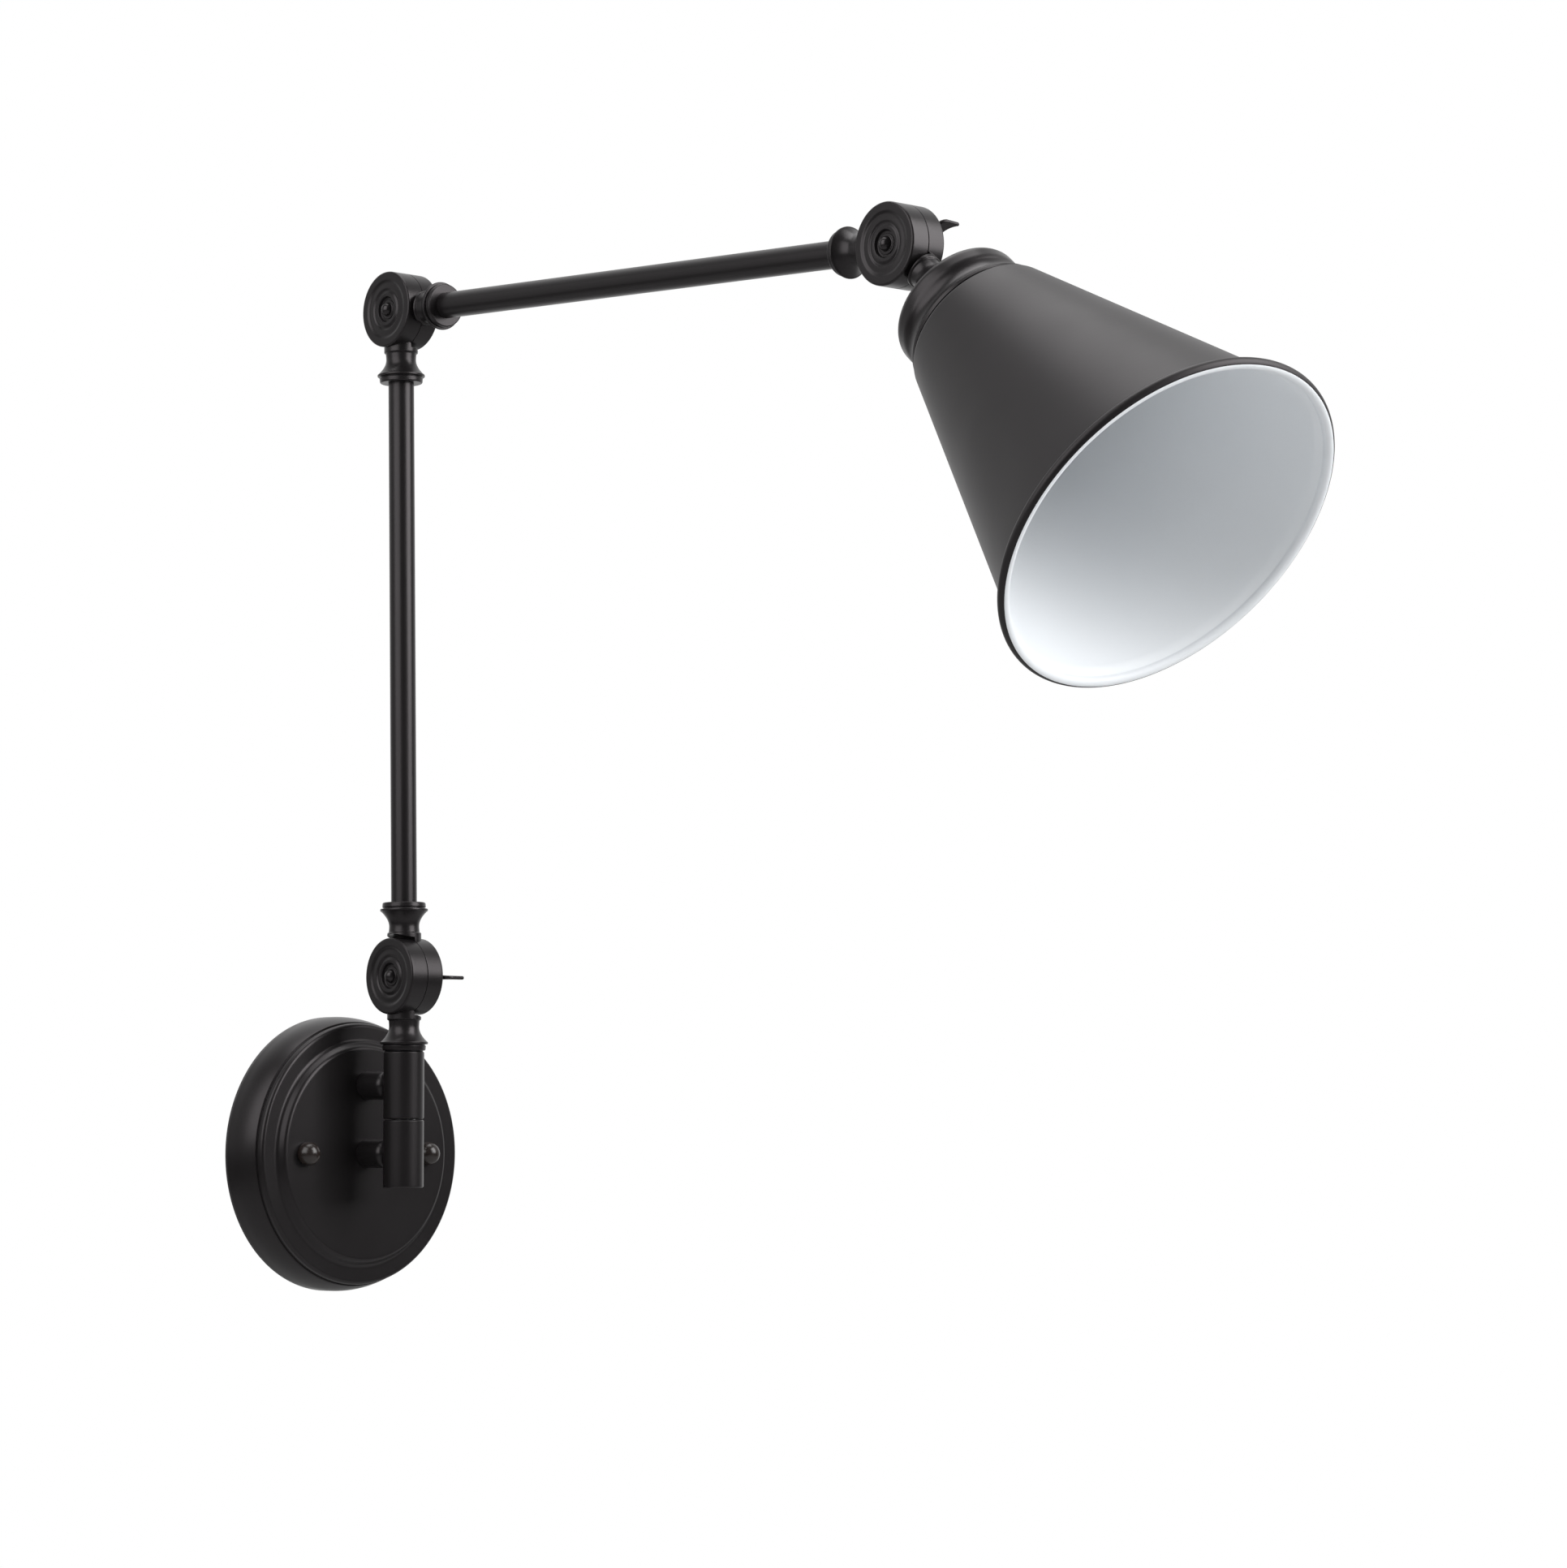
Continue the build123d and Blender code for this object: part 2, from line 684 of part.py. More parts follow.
cup_bell_way = (1, 1)
cup_step_end = cup_shoulder + cup_step
waist_middle = ((cup_band_end + cup_waist) / 2, (cup_band_r + cup_waist_r) / 2)
with BuildPart() as cup:
    with BuildSketch(head_section):
        with BuildLine():
            Line((neck_length, 0), (neck_length, cup_top_r))
            TangentArc((neck_length, cup_top_r), (cup_crown, cup_crown_r), tangent=(0, 1))
            TangentArc((cup_crown, cup_crown_r), (cup_shoulder, cup_shoulder_r), tangent=cup_bell_way)
            Line((cup_shoulder, cup_shoulder_r), (cup_step_end, cup_shoulder_r))
            RadiusArc((cup_step_end, cup_shoulder_r), (cup_band, cup_band_r), cup_band_round)
            Line((cup_band, cup_band_r), (cup_band_end, cup_band_r))
            waist_arc = TangentArc((cup_band_end, cup_band_r), waist_middle, tangent=(1, 0))
            TangentArc(waist_middle, (cup_waist, cup_waist_r), tangent=waist_arc % 1)
            TangentArc((cup_waist, cup_waist_r), (cup_flare, cup_flare_r), tangent=(1, 0))
            Polyline((cup_flare, cup_flare_r), (cup_rim_start, cup_rim_r), (cup_length, cup_rim_r))
            offset(amount=cup_wall, side=Side.RIGHT)
        make_face()
    revolve(axis=head_axis)
    with BuildSketch(Plane(origin=head_centre + head_way * neck_length, z_dir=head_way)):
        Circle(stem_r + thread_clearance)
    extrude(amount=2 * cup_wall, mode=Mode.SUBTRACT)
keep(cup, "cup")

locknut_plane = Plane(origin=head_centre + head_way * locknut_start, z_dir=head_way)
cup_locknut = hex_nuts(locknut_plane, [(0, 0)], cup_locknut_flats, stem_r, cup_locknut_t)
keep(cup_locknut, "cup_locknut")

body_start = holder_start + holder_boss_length
shade_top = cup_length + shade_gap
floor = body_start + holder_floor
shell_seat = floor + contact_room
holder_end = shade_top + holder_skirt
shell_outer_r = shell_r + shell_wall
holder_bore_r = shell_outer_r + running_clearance
nipple_hole_end = holder_start + nipple_reach + nipple_end_gap
with BuildPart() as lampholder:
    with BuildSketch(head_section):
        with BuildLine():
            Polyline(
                (nipple_hole_end, 0),
                (nipple_hole_end, stem_r + thread_clearance),
                (holder_start, stem_r + thread_clearance),
                (holder_start, holder_boss_r),
                (body_start, holder_boss_r),
                (body_start, holder_r),
                (shade_top - holder_flange_t, holder_r),
                (shade_top - holder_flange_t, holder_flange_r),
                (shade_top, holder_flange_r),
                (shade_top, holder_r),
                (holder_end, holder_r),
                (holder_end, holder_bore_r),
                (shell_seat, holder_bore_r),
                (shell_seat, contact_room_r),
                (floor, contact_room_r),
                (floor, 0),
                close=True,
            )
        make_face()
    revolve(axis=head_axis)
keep(lampholder, "lampholder")

with BuildPart() as screw_shell:
    with BuildSketch(head_section):
        with BuildLine():
            Polyline(
                (shell_seat, shell_opening_r),
                (shell_seat, shell_outer_r),
                (shell_seat + shell_length, shell_outer_r),
                (shell_seat + shell_length, shell_r),
                (shell_seat + shell_wall, shell_r),
                (shell_seat + shell_wall, shell_opening_r),
                close=True,
            )
        make_face()
    revolve(axis=head_axis)
keep(screw_shell, "screw_shell")

with BuildPart() as centre_contact:
    with BuildSketch(head_section):
        with BuildLine():
            Polyline(
                (floor, 0),
                (floor, contact_base_r),
                (floor + contact_base_t, contact_base_r),
                (floor + contact_base_t, contact_r),
                (floor + contact_height, contact_r),
                (floor + contact_height, 0),
                close=True,
            )
        make_face()
    revolve(axis=head_axis)
keep(centre_contact, "centre_contact")

ring_plane = Plane(origin=head_centre + head_way * (shade_top + shade_wall), z_dir=head_way)
with BuildPart() as shade_ring:
    with BuildSketch(ring_plane):
        Circle(shade_ring_r)
        Circle(holder_r + thread_clearance, mode=Mode.SUBTRACT)
        with PolarLocations(shade_ring_r, shade_ring_notches):
            Circle(shade_ring_notch_r, mode=Mode.SUBTRACT)
    extrude(amount=shade_ring_t)
keep(shade_ring, "shade_ring")

# Shade: one spun shell, from the hole over the lampholder to the rolled rim
lip_start = shade_top + shade_length
rim_centre = (lip_start + shade_lip, shade_mouth_r + shade_lip_flare)
with BuildPart() as shade:
    with BuildSketch(head_section):
        with BuildLine():
            FilletPolyline(
                (shade_top, holder_r + shade_hole_clearance),
                (shade_top, shade_top_r),
                (lip_start, shade_mouth_r),
                rim_centre,
                radius=[shade_shoulder_round, shade_lip_round],
            )
            offset(amount=shade_wall, side=Side.RIGHT)
        make_face()
        with Locations(rim_centre):
            Circle(shade_bead_r)
    revolve(axis=head_axis)
keep(shade, "shade")
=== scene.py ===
import json
import math
import bpy
import numpy as np
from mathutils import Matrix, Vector

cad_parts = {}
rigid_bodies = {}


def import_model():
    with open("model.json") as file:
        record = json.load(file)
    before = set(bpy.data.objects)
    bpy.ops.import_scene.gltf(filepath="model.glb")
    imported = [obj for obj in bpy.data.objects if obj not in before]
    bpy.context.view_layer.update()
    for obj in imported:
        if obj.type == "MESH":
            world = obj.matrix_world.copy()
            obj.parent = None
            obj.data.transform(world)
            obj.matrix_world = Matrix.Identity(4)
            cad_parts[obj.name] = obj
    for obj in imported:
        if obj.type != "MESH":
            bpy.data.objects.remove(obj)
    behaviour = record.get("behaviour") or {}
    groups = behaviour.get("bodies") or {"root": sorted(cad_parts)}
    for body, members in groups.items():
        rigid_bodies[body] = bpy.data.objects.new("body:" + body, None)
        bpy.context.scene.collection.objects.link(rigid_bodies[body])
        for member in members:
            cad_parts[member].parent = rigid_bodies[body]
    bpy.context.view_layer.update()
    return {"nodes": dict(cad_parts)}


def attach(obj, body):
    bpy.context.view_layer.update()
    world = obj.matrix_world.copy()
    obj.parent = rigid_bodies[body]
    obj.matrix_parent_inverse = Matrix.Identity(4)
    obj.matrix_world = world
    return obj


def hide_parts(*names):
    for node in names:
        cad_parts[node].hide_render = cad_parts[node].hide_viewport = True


for startUp in list(bpy.data.objects):  # the start-up file's own cube, lamp and camera
    bpy.data.objects.remove(startUp)
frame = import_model()
nodes = frame["nodes"]
print("frame loaded,", len(nodes), "parts")

# The wall lamp stands in the frame of its wall plate: X out of the wall, Z up.
# Shapes are worked out in millimetres and turned into metres when they become meshes.
mm = 0.001


# A vector, or each row of an array of them, over its own length.
def unit(vector):
    vector = np.asarray(vector, float)
    return vector / np.linalg.norm(vector, axis=-1, keepdims=True)


# Own axes of a piece: where it starts, the way it runs, the side its angles start from, and across.
def axesOf(start, way, side):
    way = unit(way)
    side = unit(np.asarray(side, float) - np.dot(side, way) * way)
    return np.asarray(start, float), way, side, np.cross(way, side)


# An outline with its corners rounded. Each corner is (along, radius, round): an arc that touches
# both of its sides, plus a point a little further along each side that keeps flat faces flat.
def rounded(corners, closed=True, steps=6, hold=0.3):
    points = np.array([corner[:2] for corner in corners], float)
    rounds = np.array([corner[2] if len(corner) > 2 else 0.0 for corner in corners])
    back, ahead = np.roll(points, 1, 0) - points, np.roll(points, -1, 0) - points
    backLength, aheadLength = (np.linalg.norm(way, axis=1) for way in (back, ahead))
    back, ahead = back / backLength[:, None], ahead / aheadLength[:, None]
    half = np.arccos(np.clip((back * ahead).sum(1), -0.99999, 0.99999)) / 2
    reach = np.minimum(rounds / np.tan(half), 0.49 * np.minimum(backLength, aheadLength))
    radius = reach * np.tan(half)
    if not closed:
        reach[[0, -1]] = radius[[0, -1]] = 0.0
    middle = points + unit(back + ahead + 1e-9) * (radius / np.sin(half))[:, None]
    first, last = (points + way * reach[:, None] - middle for way in (back, ahead))
    bend = (math.pi - 2 * half)[:, None, None]
    step = np.linspace(0, 1, steps)[None, :, None]
    arcs = middle[:, None] + (
        np.sin((1 - step) * bend) * first[:, None] + np.sin(step * bend) * last[:, None]
    ) / np.sin(bend)
    before = points + back * np.minimum(reach + hold, 0.495 * backLength)[:, None]
    after = points + ahead * np.minimum(reach + hold, 0.495 * aheadLength)[:, None]
    made = np.concatenate([before[:, None], arcs, after[:, None]], 1).reshape(-1, 2)
    if not closed:  # the ends' own arcs are points, and their outer halves go
        made = np.concatenate([points[:1], made[steps // 2 + 1 : -steps // 2 - 1], points[-1:]])
    keep = np.linalg.norm(made - np.roll(made, 1, 0), axis=1) > 1e-4
    keep[0] = keep[0] or not closed
    return made[keep]


# Points on the arc that leaves start along a tangent and ends at end: its radius is the chord's
# square over twice the chord's part along the normal.
def tangentArc(start, end, tangent, steps=14):
    start, end, tangent = np.array(start, float), np.array(end, float), unit(tangent)
    normal = np.array([-tangent[1], tangent[0]])
    chord = end - start
    radius = chord @ chord / (2 * (chord @ normal))
    middle = start + normal * radius
    sweep = 2 * math.atan2(abs(chord @ normal), chord @ tangent) * math.copysign(1, radius)
    angle = np.linspace(0, sweep, steps)[:, None]
    return middle - radius * (np.cos(angle) * normal - np.sin(angle) * tangent)


# Points on the smooth curve through given points with given slopes (cubic Hermite spans).
def throughPoints(points, tangents, steps=8):
    points, tangents = np.array(points, float), unit(tangents)
    span = np.linalg.norm(np.diff(points, axis=0), axis=1)[:, None, None]
    t = np.linspace(0, 1, steps)[None, :, None]
    p, q = points[:-1, None], points[1:, None]
    u, v = tangents[:-1, None] * span, tangents[1:, None] * span
    curve = (2 * t**3 - 3 * t**2 + 1) * p + (t**3 - 2 * t**2 + t) * u
    curve = curve + (3 * t**2 - 2 * t**3) * q + (t**3 - t**2) * v
    flat = curve.reshape(-1, 2)
    return flat[np.r_[True, np.linalg.norm(np.diff(flat, axis=0), axis=1) > 1e-6]]


# A grid of points becomes a skin of four-sided faces. A row that has shrunk to a point becomes one
# vertex, so that poles close, and a skin whose volume comes out negative is turned round.
def skinOf(grid, closedRows=False, paint=None):
    rows, columns = grid.shape[:2]
    ids = np.arange(rows * columns).reshape(rows, columns)
    pole = np.ptp(grid, axis=1).max(axis=1) < 1e-6
    ids[pole] = ids[pole, :1]
    used, ids = np.unique(ids, return_inverse=True)
    points, ids = grid.reshape(-1, 3)[used], ids.reshape(rows, columns)
    ids = np.concatenate([ids, ids[:, :1]], 1)
    if closedRows:
        ids = np.concatenate([ids, ids[:1]], 0)
    quads = np.stack([ids[:-1, :-1], ids[:-1, 1:], ids[1:, 1:], ids[1:, :-1]], -1).reshape(-1, 4)
    paint = np.zeros(len(ids) - 1, int) if paint is None else paint
    a, b, c, d = (points[quads[:, k]] for k in range(4))
    if (np.cross(a, b) * c).sum() + (np.cross(a, c) * d).sum() < 0:
        quads = quads[:, ::-1]
    return points, quads, np.repeat(paint, columns)


# A lathe: each outline point (along, radius) is carried once round the axis. A ripple may add to
# the radius as a function of the place along and the angle, for threads and notches.
def lathe(outline, axes, turns=96, closedRows=True, ripple=None, paint=None):
    start, way, side, across = axes
    outline = np.asarray(outline, float)
    angle = np.linspace(0, 2 * math.pi, turns, endpoint=False)
    spoke = np.cos(angle)[:, None] * side + np.sin(angle)[:, None] * across
    along, radius = outline[:, 0][:, None], outline[:, 1][:, None] + 0 * angle[None]
    if ripple:
        radius = radius + ripple(along, angle[None], outline[:, 1][:, None])
    grid = start + along[..., None] * way + radius[..., None] * spoke[None]
    return skinOf(grid, closedRows, paint)


# A face with a corner that repeats the next one, as at a pole, becomes three-sided.
def facesOf(quads, paint):
    same = quads == np.roll(quads, -1, 1)
    whole = ~same.any(1)
    faces, paints = quads[whole].tolist(), [paint[whole]]
    for corner, rest in ((0, [0, 2, 3]), (2, [0, 1, 2]), (1, [0, 1, 3]), (3, [0, 1, 2])):
        three = same[:, corner] & (same.sum(1) == 1)
        faces += quads[three][:, rest].tolist()
        paints.append(paint[three])
    return faces, np.concatenate(paints)


# Skins joined in one smooth mesh, whose object sits at the origin.
def addMesh(name, skins, finishes, scale=mm):
    points, quads, paint, count = [], [], [], 0
    for skinPoints, skinQuads, skinPaint in skins:
        points.append(skinPoints * scale)
        quads.append(skinQuads + count)
        paint.append(skinPaint)
        count += len(skinPoints)
    faces, paint = facesOf(np.concatenate(quads), np.concatenate(paint))
    mesh = bpy.data.meshes.new(name)
    mesh.from_pydata(np.concatenate(points).tolist(), [], faces)
    mesh.polygons.foreach_set("use_smooth", np.ones(len(faces), bool))
    mesh.polygons.foreach_set("material_index", paint.astype(np.int32))
    for finish in finishes:
        mesh.materials.append(finish)
    mesh.update()
    made = bpy.data.objects.new(name, mesh)
    bpy.context.scene.collection.objects.link(made)
    return made


# A piece of the lamp rides on its body and takes the place of the frame's plain parts.
def addPiece(name, skins, body, replaced, finishes):
    piece = addMesh(name, skins, finishes)
    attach(piece, body)
    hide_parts(*replaced)
    return piece


# A shader node with its settings and the values of its inputs.
def nodeIn(tree, kind, values=None, **settings):
    node = tree.nodes.new(kind)
    for key, value in settings.items():
        setattr(node, key, value)
    for key, value in (values or {}).items():
        node.inputs[key].default_value = value
    return node


# Links, each from a node's output to another's input, by name or number.
def linkUp(tree, *links):
    for source, output, target, entry in links:
        tree.links.new(source.outputs[output], target.inputs[entry])


# A node group with named inputs and outputs, built once and placed in each finish that uses it.
def newEffect(name, inputs, outputs):
    effect = bpy.data.node_groups.new(name, "ShaderNodeTree")
    newSocket = effect.interface.new_socket
    for label, kind, value in inputs:
        socket = newSocket(label, in_out="INPUT", socket_type="NodeSocket" + kind)
        socket.default_value = value
    for label in outputs:
        newSocket(label, in_out="OUTPUT", socket_type="NodeSocketFloat")
    return effect, nodeIn(effect, "NodeGroupInput"), nodeIn(effect, "NodeGroupOutput")


# Sprayed paint: a fine orange-peel height, slow colour clouds and smudges where hands have been.
grainEffect, grainIn, grainOut = newEffect(
    "paintGrain",
    [("Grain Size", "Float", 1.2), ("Cloud Size", "Float", 40.0)],
    ["Height", "Clouds", "Smudge"],
)
place = nodeIn(grainEffect, "ShaderNodeTexCoord")
for size, output, detail, label in (
    ("Grain Size", "Height", 2.0, "peel"),
    ("Cloud Size", "Clouds", 3.0, "clouds"),
):
    scale = nodeIn(grainEffect, "ShaderNodeMath", {0: 1000.0}, operation="DIVIDE")
    noiseValues = {"Detail": detail, "Roughness": 0.55}
    noise = nodeIn(grainEffect, "ShaderNodeTexNoise", noiseValues, label=label)
    linkUp(
        grainEffect,
        (grainIn, size, scale, 1),
        (scale, 0, noise, "Scale"),
        (place, "Object", noise, "Vector"),
        (noise, "Fac", grainOut, output),
    )
smear = nodeIn(grainEffect, "ShaderNodeTexNoise", {"Scale": 30.0, "Detail": 2.0, "Distortion": 0.3})
smearRange = nodeIn(grainEffect, "ShaderNodeMapRange", {"From Min": 0.3, "From Max": 0.75})
linkUp(
    grainEffect,
    (place, "Object", smear, "Vector"),
    (smear, "Fac", smearRange, "Value"),
    (smearRange, "Result", grainOut, "Smudge"),
)

# Turned or spun metal: fine rings at one distance along and out from the axis, uneven in depth.
turnedEffect, turnedIn, turnedOut = newEffect(
    "turnedLines",
    [("Centre", "Vector", (0, 0, 0)), ("Axis", "Vector", (0, 0, 1)), ("Spacing", "Float", 0.4)],
    ["Lines"],
)
place = nodeIn(turnedEffect, "ShaderNodeTexCoord")
fromCentre, alongAxis, outwards, outDistance = (
    nodeIn(turnedEffect, "ShaderNodeVectorMath", operation=operation)
    for operation in ("SUBTRACT", "DOT_PRODUCT", "CROSS_PRODUCT", "LENGTH")
)
ringPlace = nodeIn(turnedEffect, "ShaderNodeMath", operation="ADD")
ringCount = nodeIn(turnedEffect, "ShaderNodeMath", {1: 1000.0}, operation="MULTIPLY")
ringStep = nodeIn(turnedEffect, "ShaderNodeMath", operation="DIVIDE")
noiseValues = {"Scale": 1.0, "Detail": 2.5}
ringNoise = nodeIn(turnedEffect, "ShaderNodeTexNoise", noiseValues, noise_dimensions="1D")
linkUp(
    turnedEffect,
    (place, "Object", fromCentre, 0),
    (turnedIn, "Centre", fromCentre, 1),
    (fromCentre, "Vector", alongAxis, 0),
    (turnedIn, "Axis", alongAxis, 1),
    (fromCentre, "Vector", outwards, 0),
    (turnedIn, "Axis", outwards, 1),
    (outwards, "Vector", outDistance, 0),
    (alongAxis, "Value", ringPlace, 0),
    (outDistance, "Value", ringPlace, 1),
    (ringPlace, 0, ringCount, 0),
    (ringCount, 0, ringStep, 0),
    (turnedIn, "Spacing", ringStep, 1),
    (ringStep, 0, ringNoise, "W"),
    (ringNoise, "Fac", turnedOut, "Lines"),
)


# A finish from its look: two colours that the clouds mix, a range of roughness that the smudges
# and lines move through, and a bump from the grain and the lines together.
def makeFinish(name, look):
    finish = bpy.data.materials.new(name)
    finish.use_nodes = True
    tree = finish.node_tree
    shader = tree.nodes["Principled BSDF"]
    grainSizes = {"Grain Size": look["grainSize"], "Cloud Size": look["cloudSize"]}
    grain = nodeIn(tree, "ShaderNodeGroup", grainSizes, node_tree=grainEffect)
    colours = {"A": (*look["colour"], 1), "B": (*look["second"], 1)}
    colour = nodeIn(tree, "ShaderNodeMix", colours, data_type="RGBA")
    smooth, coarse = look["roughness"]
    rough = nodeIn(tree, "ShaderNodeMapRange", {"To Min": smooth, "To Max": coarse})
    bump = nodeIn(tree, "ShaderNodeBump", {"Distance": look["grainDepth"] * mm, "Strength": 1.0})
    links = [
        (grain, "Clouds", colour, "Factor"),
        (colour, "Result", shader, "Base Color"),
        (rough, "Result", shader, "Roughness"),
        (bump, "Normal", shader, "Normal"),
        (grain, "Height", bump, "Height"),
    ]
    if "lineSpacing" in look:
        centre, axis = tuple(np.asarray(look["centre"]) * mm), tuple(look["axis"])
        lineValues = {"Centre": centre, "Axis": axis, "Spacing": look["lineSpacing"]}
        lines = nodeIn(tree, "ShaderNodeGroup", lineValues, node_tree=turnedEffect)
        lineValues = {"Distance": look["lineDepth"] * mm, "Strength": 1.0}
        lineBump = nodeIn(tree, "ShaderNodeBump", lineValues)
        half = nodeIn(tree, "ShaderNodeMath", {1: 0.5}, operation="MULTIPLY")
        blend = nodeIn(tree, "ShaderNodeMath", {1: 0.5, 2: 0.0}, operation="MULTIPLY_ADD")
        links += [
            (lines, "Lines", lineBump, "Height"),
            (bump, "Normal", lineBump, "Normal"),
            (lineBump, "Normal", shader, "Normal"),
            (grain, "Smudge", half, 0),
            (lines, "Lines", blend, 0),
            (half, 0, blend, 2),
            (blend, 0, rough, "Value"),
        ]
    else:
        links.append((grain, "Smudge", rough, "Value"))
    linkUp(tree, *links)
    shader.inputs["Metallic"].default_value = look.get("metallic", 0.0)
    shader.inputs["Specular IOR Level"].default_value = look.get("gloss", 0.5)
    shader.inputs["Specular Tint"].default_value = (*look.get("glossTint", (1, 1, 1)), 1)
    return finish


# How the lamp stands in the frame: angles in degrees, lengths in millimetres.
pose = {
    "swivelTurn": -4.6,
    "lowerLean": 1.05,
    "upperLean": 2.76,
    "headTilt": 49.0,
    "lowerLength": 292.5,
    "upperLength": 317.3,
    "pivotOffset": 48.0,
    "baseHeight": 76.75,
}

up = np.array([0.0, 0.0, 1.0])
outOfWall = np.array([1.0, 0.0, 0.0])
swivel = math.radians(pose["swivelTurn"])
armOut = np.array([math.cos(swivel), math.sin(swivel), 0.0])
knuckleBack = np.array([-math.sin(swivel), math.cos(swivel), 0.0])


# The direction in the arms' plane: out times the angle's cosine and up times its sine.
def inArmPlane(degrees):
    angle = math.radians(degrees)
    return armOut * math.cos(angle) + up * math.sin(angle)


lowerWay = inArmPlane(90 + pose["lowerLean"])
upperWay = inArmPlane(-pose["upperLean"])
headWay = inArmPlane(pose["headTilt"] - 90)
pivotFoot = np.array([pose["pivotOffset"], 0.0, 0.0])
baseCentre = pivotFoot + up * pose["baseHeight"]
elbowCentre = baseCentre + lowerWay * pose["lowerLength"]
headCentre = elbowCentre + upperWay * pose["upperLength"]
headAxes = axesOf(headCentre, headWay, knuckleBack)

# Colours are linear, roughness is a range, and grain, clouds and lines are in millimetres.
blackLook = {
    "colour": (0.0068, 0.0061, 0.0064),
    "second": (0.0082, 0.0074, 0.0077),
    "roughness": (0.31, 0.35),
    "glossTint": (1.0, 0.93, 0.96),
    "gloss": 0.4,
    "grainSize": 1.3,
    "grainDepth": 0.0012,
    "cloudSize": 30.0,
}
turnedLook = {
    "metallic": 1.0,
    "grainSize": 0.5,
    "grainDepth": 0.006,
    "cloudSize": 8.0,
    "lineSpacing": 0.35,
    "lineDepth": 0.01,
    "centre": pivotFoot,
    "axis": up,
}
onHead = {"centre": headCentre, "axis": headWay}


# A turned metal's look: the shared values with its colours and roughness, and what else differs.
def turned(colour, second, roughness, **more):
    return {**turnedLook, "colour": colour, "second": second, "roughness": roughness, **more}


plate = ((0.46, 0.48, 0.50), (0.60, 0.59, 0.54), (0.30, 0.48))
green = ((0.03, 0.20, 0.06), (0.08, 0.32, 0.10), (0.28, 0.42))
looks = {
    "blackPaint": blackLook,
    "shadeOutside": {
        **blackLook,
        **onHead,
        "second": (0.011, 0.0103, 0.0108),
        "roughness": (0.42, 0.48),
        "lineSpacing": 1.1,
        "lineDepth": 0.0012,
    },
    "shadeInside": {
        **onHead,
        "colour": (0.74, 0.77, 0.80),
        "second": (0.78, 0.80, 0.82),
        "roughness": (0.42, 0.55),
        "gloss": 0.4,
        "grainSize": 1.4,
        "grainDepth": 0.002,
        "cloudSize": 70.0,
        "lineSpacing": 1.3,
        "lineDepth": 0.0015,
    },
    "darkBronze": {
        "colour": (0.012, 0.009, 0.008),
        "second": (0.020, 0.014, 0.012),
        "roughness": (0.24, 0.30),
        "gloss": 0.6,
        "grainSize": 1.1,
        "grainDepth": 0.001,
        "cloudSize": 5.0,
    },
    "boltBlack": {**blackLook, "roughness": (0.26, 0.30), "gloss": 0.5},
    "zincPlate": turned(*plate, centre=(0, 0, 0), axis=outOfWall, lineSpacing=0.8),
    "zincTurned": turned((0.50, 0.51, 0.52), (0.62, 0.61, 0.57), (0.22, 0.38)),
    "oxideBlack": turned((0.020, 0.020, 0.022), (0.034, 0.033, 0.034), (0.32, 0.46)),
    "greenZinc": turned(*green, centre=(0, 0, 22.0), axis=outOfWall),
    "brassTurned": turned((0.62, 0.42, 0.15), (0.72, 0.52, 0.24), (0.20, 0.36)),
    "brassDrawn": turned((0.64, 0.44, 0.17), (0.74, 0.55, 0.26), (0.24, 0.40), **onHead),
    "mouldedBlack": {
        "colour": (0.012, 0.012, 0.012),
        "second": (0.022, 0.020, 0.019),
        "roughness": (0.30, 0.44),
        "gloss": 0.45,
        "grainSize": 0.35,
        "grainDepth": 0.008,
        "cloudSize": 12.0,
    },
    "pressedFibre": {
        "colour": (0.20, 0.07, 0.045),
        "second": (0.34, 0.15, 0.10),
        "roughness": (0.60, 0.80),
        "gloss": 0.3,
        "grainSize": 0.3,
        "grainDepth": 0.03,
        "cloudSize": 1.6,
    },
}
finishes = {name: makeFinish(name, look) for name, look in looks.items()}
print("finishes made")


# Most pieces are black metal in place of one plain part.
def addBlack(name, skins, body, node, finish="blackPaint"):
    return addPiece(name, skins, body, [node], [finishes[finish]])


# The canopy, pressed from sheet: distances are along the way out of the wall and out from it.
canopySizes = {
    "outerRadius": 60.0,
    "skirt": 5.0,
    "sideEnd": (17.4, 57.4),
    "ringRadius": 56.9,
    "ringFace": 20.8,
    "ringRound": 1.7,
    "discRadius": 46.3,
    "discFace": 24.2,
    "cove": 2.6,
    "coveRound": 2.4,
    "discRound": 2.2,
    "wall": 1.2,
    "faceRows": (30.0, 12.0),
}


